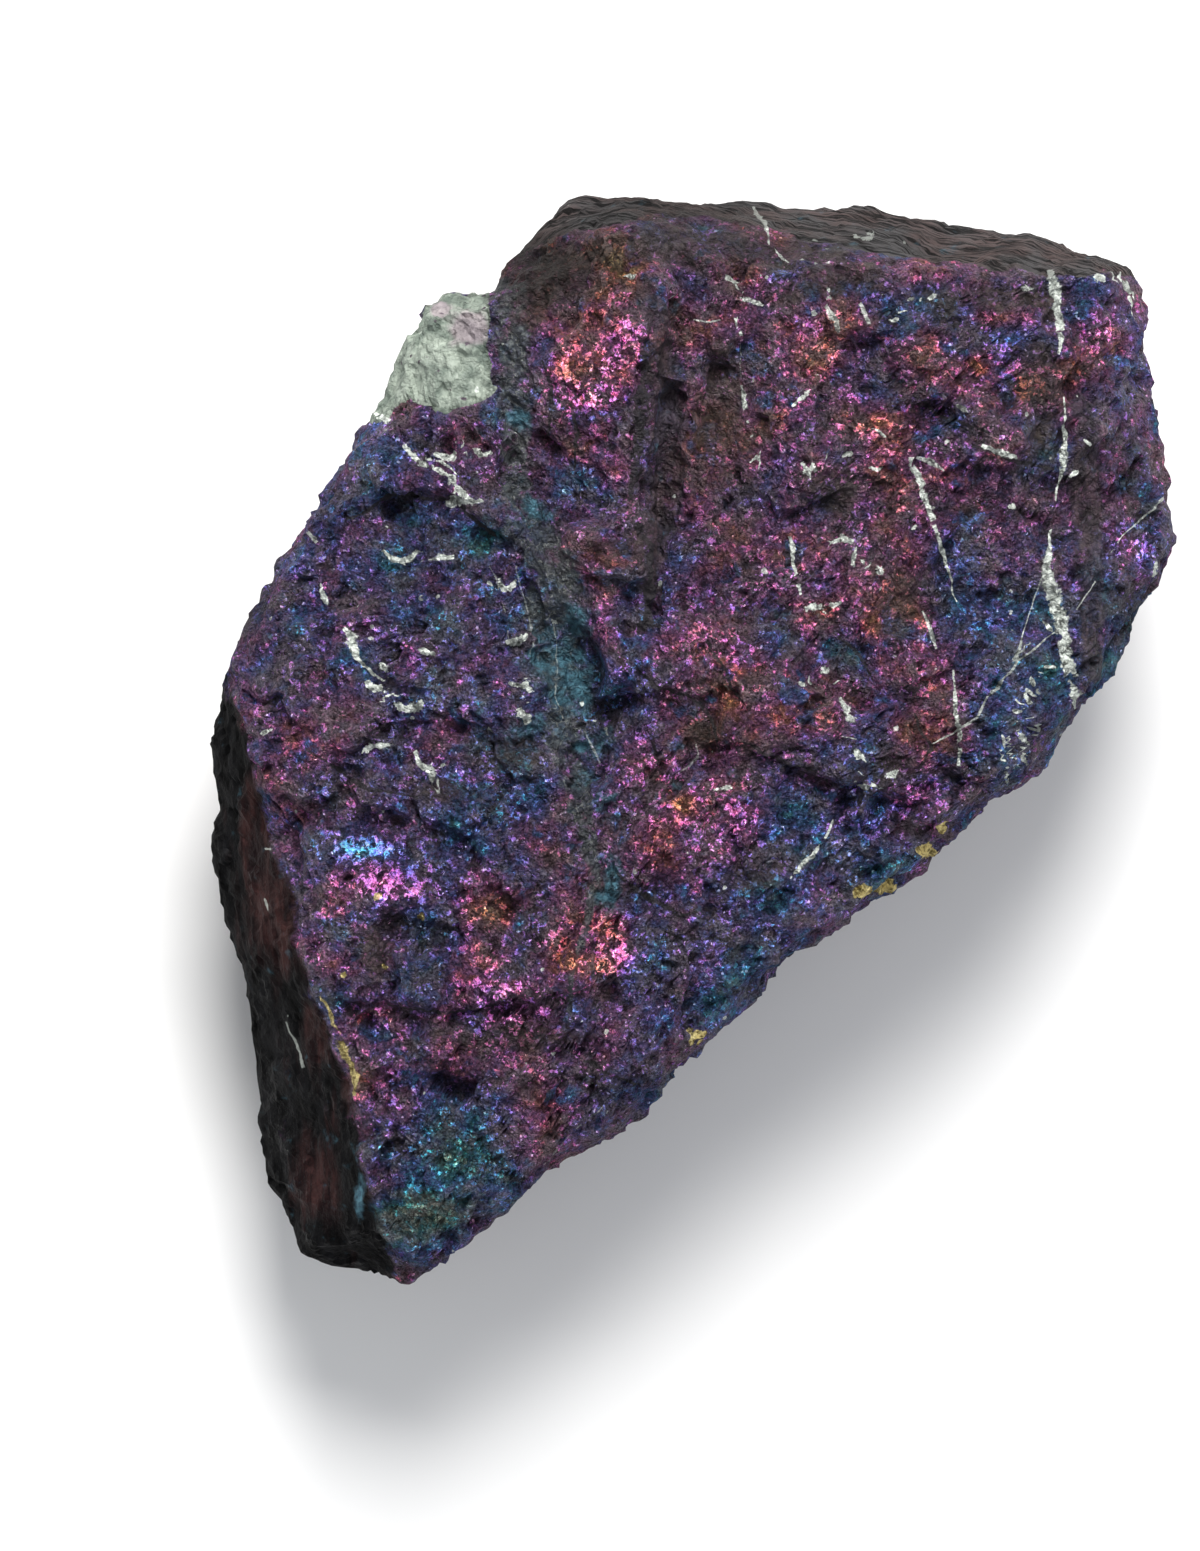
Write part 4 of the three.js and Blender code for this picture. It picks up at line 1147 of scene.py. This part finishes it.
# %% Vein group
def vein_group():
    tree, given, result = new_group(
        "calcite lines",
        {"Place": "Vector", "Offset": "Float", "Near": "Float", "Gaps": "Float", "Fray": "Float"},
        {"Mask": "Float"},
    )
    sway = minus(tree, soft_noise(tree, given["Place"], 6 * MM, 2.0), 0.5)
    sway = times(tree, sway, times(tree, given["Fray"], 0.8))
    offset = calc(tree, "ABSOLUTE", plus(tree, given["Offset"], sway))
    fray = minus(tree, soft_noise(tree, given["Place"], 1.6 * MM, 4.0, 0.7), 0.45)
    frayed = plus(tree, offset, times(tree, fray, given["Fray"]))
    line = step_up(tree, frayed, 1.15, 0.75)
    pinch = soft_noise(tree, given["Place"], 4 * MM, 1.0)
    whole = step_up(tree, pinch, minus(tree, given["Gaps"], 0.04), given["Gaps"])
    near = step_up(tree, given["Near"], 0.4, 0.6)
    tree.links.new(times(tree, line, near, whole), result.inputs["Mask"])
    return tree


calcite_lines = vein_group()
print("group", calcite_lines.name, "ready")

# %% [markdown]
# ## Reading the marks
# The marks written on the skin come back as numbers. A mark's own edge is as smooth as the mesh is coarse,
# and minerals don't end like that, so a little noise is added to the number before it is cut into a mask.
# The mask then gets a ragged edge, and small islands beyond it.

# %% Read a mark, and fray its edge
FRAYED_MARKS = {
    # mark: (size of the frays, how much they add, where the mask starts, where it is full, how full)
    "dusty": (6 * MM, 1.9, 0.2, 1.0, 0.7),
    "streaked": (5 * MM, 1.9, 0.35, 0.95, 0.85),
    "slate": (6 * MM, 0.9, 0.4, 0.6, 1.0),
    "flank": (6 * MM, 1.3, 0.25, 0.8, 1.0),
    "vein_rock": (5 * MM, 2.6, 0.45, 1.0, 0.88),
    "teal": (4 * MM, 2.4, 0.25, 0.95, 1.0),
    "brassy": (2 * MM, 1.2, 0.45, 0.55, 1.0),
    "quartz": (3 * MM, 0.8, 0.45, 0.55, 1.0),
    "rosy": (3 * MM, 0.9, 0.3, 0.7, 1.0),
}


def read_mark(tree, name):
    return node(tree, "ShaderNodeAttribute", attribute_name=name).outputs["Fac"]


def frayed_mark(tree, place, name):
    """A mark as a mask with an edge that noise has frayed."""
    size, amount, start, full, most = FRAYED_MARKS[name]
    fray = times(tree, minus(tree, soft_noise(tree, place, size, 4.0, 0.6), 0.5), amount)
    return step_up(tree, plus(tree, read_mark(tree, name), fray), start, full, 0.0, most)


# %% [markdown]
# ## Wrinkles
# The skin's triangles are about as large as the grains, so whatever is finer is a bump. The ore is
# creased like foil: ridged noise gives sharp ridges with soft hollows between them, and small plates
# and a grit lie on top. On the slate the bump follows the leaves, and on the smooth strips and the
# flank it follows the way they slid. The mark "calm" says where the stone is smoother than the ore.

# %% Bump of the whole surface
LEAF_GRAIN = (-4.6, 0, 20)           # across the leaves, which dip a little to the left
STREAK_SQUASH = (1.0, 0.16, 0.45)    # streaks are long along y
STREAK_SIZE = 1.7 * MM
PLATES_PER_METRE = 620.0
GRIT_HEIGHT, PLATE_HEIGHT = 0.9, 0.6    # against the ridges' 1
LEAF_BUMP, STREAK_BUMP = 2.0, 0.7
CALM_HEIGHT = 0.06                   # what is left of the ore's wrinkles where the stone is calm
FLANK_STREAKS = 0.4                  # streaks on the flank, against 1 on the strips
BUMP_REACH = 1.2 * MM
RIDGES = {"Scale": 560.0, "Detail": 5.0, "Roughness": 0.7, "Lacunarity": 2.2, "Offset": 0.9, "Gain": 1.6,
          "Distortion": 0.12}


def leaf_noise(tree, place):
    """Noise drawn out along the slate's leaves."""
    across = vector(tree, "DOT_PRODUCT", place, LEAF_GRAIN)
    parts = node(tree, "ShaderNodeSeparateXYZ", {0: place}).outputs
    drawn = node(tree, "ShaderNodeCombineXYZ", {0: parts[0], 1: parts[1], 2: across}).outputs[0]
    return soft_noise(tree, drawn, 10 * MM, 5.0, 0.7)


def streak_noise(tree, place, size):
    """Noise drawn out along y."""
    return soft_noise(tree, vector(tree, "MULTIPLY", place, STREAK_SQUASH), size, 5.0, 0.65)


def wrinkles(tree, place):
    """Facing of the bumpy surface, and how far up its ridges each point is."""
    folds = node(tree, "ShaderNodeTexNoise", {"Vector": place, **RIDGES}, noise_type="RIDGED_MULTIFRACTAL",
                 normalize=True).outputs[0]
    plates = node(tree, "ShaderNodeTexVoronoi", {"Vector": place, "Scale": PLATES_PER_METRE}, feature="F2")
    grit = soft_noise(tree, place, 0.6 * MM, 3.0, 0.75)
    height = plus(tree, folds, times(tree, grit, GRIT_HEIGHT))
    height = plus(tree, height, times(tree, plates.outputs[0], PLATE_HEIGHT))
    height = times(tree, height, fade(tree, read_mark(tree, "calm"), CALM_HEIGHT))
    leaves = times(tree, leaf_noise(tree, place), read_mark(tree, "slate"))
    height = plus(tree, height, times(tree, leaves, LEAF_BUMP))
    on_flank = times(tree, read_mark(tree, "flank"), FLANK_STREAKS)
    smooth_parts = plus(tree, read_mark(tree, "streaked"), on_flank)
    streaks = times(tree, streak_noise(tree, place, STREAK_SIZE), smooth_parts)
    height = plus(tree, height, times(tree, streaks, STREAK_BUMP))
    bump = node(tree, "ShaderNodeBump", {"Height": height, "Distance": BUMP_REACH, "Strength": 1.0})
    return bump.outputs["Normal"], folds


# %% [markdown]
# ## Tone and shade of the ore
# The named patches give the film its broad colours. Between them the tone drifts in clouds a centimetre
# across, turns blue in a few of them, and differs a little from grain to grain. The ore is also light
# and dark at every size: dust and painted shade dull the pits, painted shade makes the bottoms of the
# creases nearly black and painted highlight lightens their ridges, a few torn lines are nearly black, and
# the finest grit is like salt and pepper. Light alone could shade a real surface so finely, but it would
# need triangles of a tenth of a millimetre, so this shade is part of the colour.

# %% Tone of the film, and the fine shade
BLUE_TONE = 0.78
GRAIN_DRIFT = 0.22                   # how much the tone differs from grain to grain
PIT_SHADE, TORN_SHADE = 0.48, 0.3    # brightness in the deepest pits and along the torn lines
# Painted shade in the bottoms of the creases and painted highlight on their ridges.
CREASE_SHADE, RIDGE_SHADE = 0.44, 1.33
SHADE_CLOUDS = {
    # name: (size, detail, roughness, the noise where it is darkest, where it is lightest, darkest, lightest)
    "large clouds": (13 * MM, 4.0, 0.6, 0.3, 0.7, 0.77, 1.14),
    "small clouds": (4.8 * MM, 4.0, 0.6, 0.35, 0.65, 0.94, 1.10),
    "grit": (0.5 * MM, 3.0, 0.7, 0.3, 0.7, 0.38, 1.86),
}


def film_tone(tree, place, gleam, roll):
    zones = minus(tree, soft_noise(tree, place, 10 * MM, 3.0, 0.55), 0.5)
    zones = times(tree, zones, step_up(tree, gleam, 0.2, 0.9, 1.0, 0.5))
    tone = plus(tree, read_mark(tree, "film"), zones)
    bluish = step_up(tree, soft_noise(tree, place, 8 * MM, 4.0, 0.6), 0.56, 0.66, 0.0, 0.75)
    bluish = times(tree, bluish, step_up(tree, gleam, 0.3, 0.6, 1.0, 0.0))
    tone = over_value(tree, bluish, tone, BLUE_TONE)
    own = times(tree, minus(tree, roll, 0.5), GRAIN_DRIFT)
    return calc(tree, "ADD", tone, own, clamp=True)


def fine_shade(tree, place, folds):
    # Painted shade in the pits and crease bottoms, painted highlight on the ridges.
    pit_dust_and_shade = step_up(tree, read_mark(tree, "pits"), 0.1, 0.9, 1.0, PIT_SHADE)
    crease = step_up(tree, folds, 0.05, 0.5, CREASE_SHADE, RIDGE_SHADE)
    shade = times(tree, pit_dust_and_shade, crease)
    for size, detail, roughness, low, high, darkest, lightest in SHADE_CLOUDS.values():
        clouds = soft_noise(tree, place, size, detail, roughness)
        shade = times(tree, shade, step_up(tree, clouds, low, high, darkest, lightest))
    ripple = calc(tree, "ABSOLUTE", minus(tree, soft_noise(tree, place, 4.8 * MM, 5.0, 0.6), 0.5))
    short = step_up(tree, soft_noise(tree, place, 3.2 * MM, 2.0), 0.46, 0.54)
    torn = times(tree, step_up(tree, ripple, 0.016, 0.004), short)
    return times(tree, shade, fade(tree, torn, TORN_SHADE))


# %% [markdown]
# ## Flashing grains
# On the stone a grain flashes when it is clean and leans just so towards the lamp. Here which ones do is a
# matter of luck: partly of the grain itself, partly of the clump it is in, and the bar is lower where the
# patch gleams. A flashing grain gets the film's bright colour, painted brighter still as a painted
# highlight, and also more metal, a smoother surface and a facing that throws the key lamp's light straight
# up. A few crumbs far smaller than a grain get a painted glint, nearly white.

# %% Finish of the tarnished ore
FLASH_FACING = (0.04, 0.37, 0.93)    # half way between straight up and the key lamp
FLASH_TURN = 0.8                     # how far a flashing grain turns to that facing
GRAIN_SIZE = 1.1 * MM
GRAIN_LEAN_WHERE_CALM = 0.12         # against 1 on the ore
CLUMP_SIZE = 4.5 * MM
CLUMP_LUCK, GRAIN_LUCK = 0.45, 0.55
FLASH_BAR, GLEAM_LOWERS = 0.72, 0.18    # the luck that a grain needs, and how much less it is at full gleam
GLINT_BAR, LUCK_LOWERS = 1.058, 0.12    # the same for a crumb's roll, which ends at 1
CRUMBS_PER_METRE = 2300.0
ORE_ROUGHNESS, FLASH_ROUGHNESS = 0.5, 0.36
ORE_METAL, FLASH_METAL = 0.62, 0.9
# Painted highlight: how much brighter the colour of a flashing grain is made.
PAINTED_FLASH_STRENGTH, GLEAM_ADDS = 1.05, 0.4    # brightness of a flash, and what full gleam adds to it
# Painted glints: how much brighter a glinting crumb is, and its near-white colour.
PAINTED_GLINT_STRENGTH, GLINT_WHITENESS = 1.1, 0.35
PAINTED_GLINT_WHITE = (1.0, 0.95, 0.95, 1)
GREYED_FILM = (0.088, 0.076, 0.076, 1)


def flashing(tree, luck, gleam):
    """1 on the grains that flash, which get the painted highlight."""
    bar = minus(tree, FLASH_BAR, times(tree, gleam, GLEAM_LOWERS))
    lucky = step_up(tree, luck, minus(tree, bar, 0.05), plus(tree, bar, 0.05))
    return times(tree, lucky, step_up(tree, gleam, 0.0, 0.8, 0.4, 1.0))


def glinting(tree, place, luck, gleam):
    """0.9 on the crumbs that get a painted glint: about one in a hundred, and more in lucky clumps."""
    bar = minus(tree, GLINT_BAR, times(tree, luck, LUCK_LOWERS))
    bar = minus(tree, bar, times(tree, gleam, 0.02))
    crumb = rolls(tree, cell_colours(tree, place, CRUMBS_PER_METRE))[0]
    return step_up(tree, crumb, bar, plus(tree, bar, 0.01), 0.0, 0.9)


def ore_finish(tree, place):
    """Colour, roughness, metal and normal of the tarnished ore."""
    gleam = read_mark(tree, "gleam")
    facing, folds = wrinkles(tree, place)
    lean = fade(tree, read_mark(tree, "calm"), GRAIN_LEAN_WHERE_CALM)
    grain = placed(tree, grains, {"Place": place, "Facing": facing, "Size": GRAIN_SIZE, "Lean": lean})
    clumps = times(tree, soft_noise(tree, place, CLUMP_SIZE, 5.0, 0.7), CLUMP_LUCK)
    luck = plus(tree, clumps, times(tree, grain["Spark"], GRAIN_LUCK))
    flash = flashing(tree, luck, gleam)
    glint = glinting(tree, place, luck, gleam)

    film = placed(tree, film_colours, {"Tone": film_tone(tree, place, gleam, grain["Roll"])})
    greyed = step_up(tree, soft_noise(tree, place, 6.5 * MM, 5.0, 0.65), 0.42, 0.62, 0.05, 0.7)
    # Painted highlight: flashing grains take the bright flash colour, glinting crumbs a near-white painted
    # glint.
    colour = over(tree, flash, over(tree, greyed, film["Dull"], GREYED_FILM), film["Flash"])
    colour = over(tree, glint, colour, over(tree, GLINT_WHITENESS, film["Flash"], PAINTED_GLINT_WHITE))
    # Painted highlight on glints and flashes; the other grains take the fine painted shade.
    strength = over_value(tree, glint, fine_shade(tree, place, folds), PAINTED_GLINT_STRENGTH)
    painted_flash_strength = plus(tree, PAINTED_FLASH_STRENGTH, times(tree, gleam, GLEAM_ADDS))
    strength = times(tree, strength, over_value(tree, flash, 1.0, painted_flash_strength))

    roughness = over_value(tree, flash, ORE_ROUGHNESS, FLASH_ROUGHNESS)
    metal = over_value(tree, flash, ORE_METAL, FLASH_METAL)
    turn = vector(tree, "SCALE", FLASH_FACING, times(tree, flash, FLASH_TURN))
    normal = vector(tree, "NORMALIZE", vector(tree, "ADD", grain["Normal"], turn))
    return tinted(tree, colour, strength), roughness, metal, normal


# %% [markdown]
# ## Rock, slate and quartz
# Each other mineral is a colour that varies between a dark and a pale one. What differs is the noise
# that drives it: crumbs and hair-thin threads in the vein rock, leaves in the slate, streaks on the
# strips and the flank, broken faces in the quartz. Rust runs down the flank, and a part of the quartz is
# rosy. Pictures of rocks could be wrapped on instead, but they would smear on the steep sides.

# %% Colours of the other minerals
QUARTZ_FACES_PER_METRE = 420.0


def rock_colour(tree, place):
    """Dull grey vein rock, clouded with navy, with pale crumbs and hair-thin threads."""
    cloudy = step_up(tree, soft_noise(tree, place, 7 * MM, 4.0, 0.65), 0.42, 0.58)
    base = blend(tree, cloudy, (0.024, 0.034, 0.048), (0.062, 0.074, 0.078))
    crumbs = step_up(tree, soft_noise(tree, place, 1.4 * MM, 4.0, 0.75), 0.46, 0.70)
    up_the_face = node(tree, "ShaderNodeSeparateXYZ", {0: place}).outputs[1]
    paler = step_up(tree, up_the_face, 45 * MM, 68 * MM, 0.42, 0.85)    # most crumbs are beside the quartz
    base = over(tree, times(tree, crumbs, paler), base, (0.155, 0.178, 0.170, 1))
    ripple = calc(tree, "ABSOLUTE", minus(tree, soft_noise(tree, place, 4.5 * MM, 4.0, 0.55), 0.5))
    threads = step_up(tree, ripple, 0.014, 0.004, 0.0, 0.55)
    return over(tree, threads, base, (0.30, 0.32, 0.29, 1))


def strip_colour(tree, place):
    """Smooth dark strips where the stone slid along a vein: plum and brown, streaked the way it slid; on the
    boss wall their dark is partly painted shade.
    """
    streak = step_up(tree, streak_noise(tree, place, STREAK_SIZE), 0.40, 0.62)
    # On the boss wall this darkness is partly painted shade.
    cool = blend(tree, streak, (0.009, 0.007, 0.012), (0.058, 0.043, 0.062))
    warm = blend(tree, streak, (0.011, 0.007, 0.008), (0.062, 0.039, 0.043))
    return over(tree, step_up(tree, soft_noise(tree, place, 11 * MM, 3.0), 0.45, 0.6), cool, warm)


def slate_colour(tree, place):
    """Thin dull leaves, grey over brown, that lie flat in the stone."""
    leaf = step_up(tree, leaf_noise(tree, place), 0.44, 0.565)
    warmth = step_up(tree, soft_noise(tree, place, 12 * MM, 3.0), 0.4, 0.6)
    warm = blend(tree, leaf, (0.006, 0.004, 0.004), (0.118, 0.085, 0.083))
    return over(tree, warmth, warm, blend(tree, leaf, (0.005, 0.0045, 0.005), (0.100, 0.095, 0.098)))


def flank_colour(tree, place):
    """The bevelled flank: near black, partly its own colour and partly painted shade, with grey streaks and
    red-brown rust that run down it.
    """
    streak = step_up(tree, streak_noise(tree, place, 2.1 * MM), 0.38, 0.64)
    # The near black is partly painted shade of the undercut side.
    dark = blend(tree, streak, (0.002, 0.002, 0.0023), (0.0115, 0.0115, 0.013))
    red = blend(tree, streak, (0.013, 0.006, 0.007), (0.060, 0.026, 0.025))
    drift = times(tree, minus(tree, streak_noise(tree, place, 7 * MM), 0.5), 3.0)
    rusty = plus(tree, read_mark(tree, "rusty"), drift)
    return over(tree, step_up(tree, rusty, 0.15, 0.8), dark, red)


def quartz_colour(tree, place):
    """Cloudy quartz in broken faces, milk white to grey green, rosy in one part, with specks of ore."""
    cloudy = step_up(tree, soft_noise(tree, place, 6 * MM, 5.0, 0.65), 0.34, 0.66)
    faces = rolls(tree, cell_colours(tree, place, QUARTZ_FACES_PER_METRE))[0]
    milk = plus(tree, times(tree, cloudy, 0.7), times(tree, faces, 0.3))
    colour = blend(tree, milk, (0.068, 0.098, 0.080), (0.345, 0.395, 0.335))
    rosy = frayed_mark(tree, place, "rosy")
    colour = over(tree, rosy, colour, blend(tree, cloudy, (0.17, 0.145, 0.16), (0.34, 0.30, 0.31)))
    specks = step_up(tree, soft_noise(tree, place, 2.6 * MM, 2.0, 0.6), 0.67, 0.73)
    return over(tree, specks, colour, (0.05, 0.03, 0.05, 1))


# %% [markdown]
# ## Where the calcite shows
# The white veins are drawn by the line group, the wide ones bold and the faint ones weak. A fleck is an
# ellipse with a ragged edge. Round specks as small as dust come from scattered cells: a cell holds one
# if its roll is high enough, so they crowd where the stone is marked as speckled.

# %% Masks of the lines, flecks and specks
LINE_SETS = {
    # mark: (gaps, fray, strength)
    "veins": (0.38, 2.4, 1.0),
    "threads": (0.36, 2.0, 0.75),
    "faint": (0.44, 3.4, 0.32),
    "cracks": (0.3, 3.2, 0.85),
    "brass_line": (0.36, 2.8, 1.0),
}
FLECK_STRENGTH, SPECK_STRENGTH = 0.95, 0.7
LIME_ON_SLATE, LIME_ON_FLANK = 0.4, 0.5    # what is left of the white there
SPECKS_PER_METRE = 420.0
SPECK_BAR, CROWDING = 0.97, 0.30    # the roll that a speck needs, and how much less where they crowd


def line_mask(tree, place, name):
    gaps, fray, strength = LINE_SETS[name]
    sockets = {"Place": place, "Offset": read_mark(tree, name), "Near": read_mark(tree, name + "_near")}
    line = placed(tree, calcite_lines, {**sockets, "Gaps": gaps, "Fray": fray})["Mask"]
    return times(tree, line, strength)


def fleck_mask(tree, place):
    along, across = read_mark(tree, "fleck_along"), read_mark(tree, "fleck_across")
    squares = plus(tree, times(tree, along, along), times(tree, across, across))
    fray = times(tree, minus(tree, soft_noise(tree, place, 1.6 * MM, 4.0, 0.65), 0.5), 3.6)
    inside = step_up(tree, plus(tree, calc(tree, "SQRT", squares), fray), 1.12, 0.88)
    return times(tree, inside, step_up(tree, read_mark(tree, "flecks_near"), 0.35, 0.55))


def speck_mask(tree, place):
    push = node(tree, "ShaderNodeTexNoise", {"Vector": place, "Scale": 900.0, "Detail": 2.0}).outputs
    place = vector(tree, "ADD", place, vector(tree, "SCALE", push["Color"], 1.2 * MM))
    cells = node(tree, "ShaderNodeTexVoronoi", {"Vector": place, "Scale": SPECKS_PER_METRE}).outputs
    roll = rolls(tree, cells["Color"])
    size = step_up(tree, roll[1], 0.0, 1.0, 0.06, 0.24)
    round_speck = step_up(tree, minus(tree, size, cells["Distance"]), -0.02, 0.04)
    bar = minus(tree, SPECK_BAR, times(tree, read_mark(tree, "speckled"), CROWDING))
    return times(tree, round_speck, calc(tree, "GREATER_THAN", roll[0], bar))


def calcite_mask(tree, place, slate, flank):
    """All the calcite in one mask, weaker on the slate and the flank."""
    lime = largest(
        tree,
        line_mask(tree, place, "veins"),
        line_mask(tree, place, "threads"),
        line_mask(tree, place, "faint"),
        times(tree, fleck_mask(tree, place), FLECK_STRENGTH),
        times(tree, speck_mask(tree, place), SPECK_STRENGTH),
    )
    return times(tree, lime, fade(tree, slate, LIME_ON_SLATE), fade(tree, flank, LIME_ON_FLANK))


# %% [markdown]
# ## The stone's material
# One Principled shader makes the whole surface, so that the minerals can run into each other. It starts
# as ore, and each other mineral is laid over it by its mask: colour, roughness and metal alike. Separate
# materials would end at the edge of a triangle. Last come two corrections. Steep sides are rougher,
# or the pale floor would mirror in them at a flat angle and grey them. And the spots marked for painted
# shade are darkened in colour, whatever they are made of.

# %% Build the material
STEEP_ROUGHNESS = 0.9
# Painted shade: the darkest it makes the colour.
PAINTED_SHADE_BRIGHTNESS = 0.15    # what is left of the colour in full shade


def mineral_layers(tree, place):
    """Every mineral but the ore: mask, colour, roughness and metal, from the lowest layer up."""
    crumbly = step_up(tree, soft_noise(tree, place, 1.2 * MM, 3.0, 0.65), 0.36, 0.58)
    stained = step_up(tree, soft_noise(tree, place, 12 * MM, 5.0, 0.65), 0.35, 0.65)
    slate = frayed_mark(tree, place, "slate")
    flank = frayed_mark(tree, place, "flank")
    brassy = largest(tree, frayed_mark(tree, place, "brassy"), line_mask(tree, place, "brass_line"))
    cracks = line_mask(tree, place, "cracks")
    lime = calcite_mask(tree, place, slate, flank)
    dust_colour = blend(tree, stained, (0.032, 0.025, 0.024), (0.080, 0.060, 0.050))
    teal_colour = blend(tree, crumbly, (0.022, 0.075, 0.115), (0.070, 0.185, 0.245))
    brass_colour = blend(tree, crumbly, (0.22, 0.17, 0.06), (0.72, 0.62, 0.30))
    lime_colour = blend(tree, crumbly, (0.54, 0.59, 0.54), (0.88, 0.94, 0.87))
    return [
        # mask, colour, roughness, metal
        (frayed_mark(tree, place, "dusty"), dust_colour, 0.62, 0.3),
        (frayed_mark(tree, place, "streaked"), strip_colour(tree, place), 0.5, 0.2),
        (slate, slate_colour(tree, place), 0.6, 0.5),
        (flank, flank_colour(tree, place), 0.5, 0.9),
        (frayed_mark(tree, place, "vein_rock"), rock_colour(tree, place), 0.6, 0.1),
        (frayed_mark(tree, place, "teal"), teal_colour, 0.5, 0.2),
        (cracks, (0.010, 0.007, 0.010, 1), 0.7, 0.0),
        (brassy, brass_colour, 0.36, 0.9),
        (frayed_mark(tree, place, "quartz"), quartz_colour(tree, place), 0.45, 0.0),
        (lime, lime_colour, 0.6, 0.0),
    ]


def build_stone_material():
    material = bpy.data.materials.new("peacock ore")
    material.use_nodes = True
    tree = material.node_tree
    shader = tree.nodes["Principled BSDF"]
    place = node(tree, "ShaderNodeTexCoord").outputs["Object"]
    colour, roughness, metal, normal = ore_finish(tree, place)
    for mask, layer_colour, layer_roughness, layer_metal in mineral_layers(tree, place):
        colour = over(tree, mask, colour, layer_colour)
        roughness = over_value(tree, mask, roughness, layer_roughness)
        metal = over_value(tree, mask, metal, layer_metal)
    roughness = over_value(tree, read_mark(tree, "steep"), roughness, STEEP_ROUGHNESS)
    # Painted shade: the marked spots are darkened in colour.
    colour = tinted(tree, colour, fade(tree, read_mark(tree, "painted_shade"), PAINTED_SHADE_BRIGHTNESS))
    tree.links.new(colour, shader.inputs["Base Color"])
    tree.links.new(roughness, shader.inputs["Roughness"])
    tree.links.new(metal, shader.inputs["Metallic"])
    tree.links.new(normal, shader.inputs["Normal"])
    return material


stone.data.materials.clear()
stone.data.materials.append(build_stone_material())
print("the material has", len(stone.data.materials[0].node_tree.nodes), "nodes")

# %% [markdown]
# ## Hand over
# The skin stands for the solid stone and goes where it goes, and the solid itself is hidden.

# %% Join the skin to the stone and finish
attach(stone, "root")
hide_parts("ore")
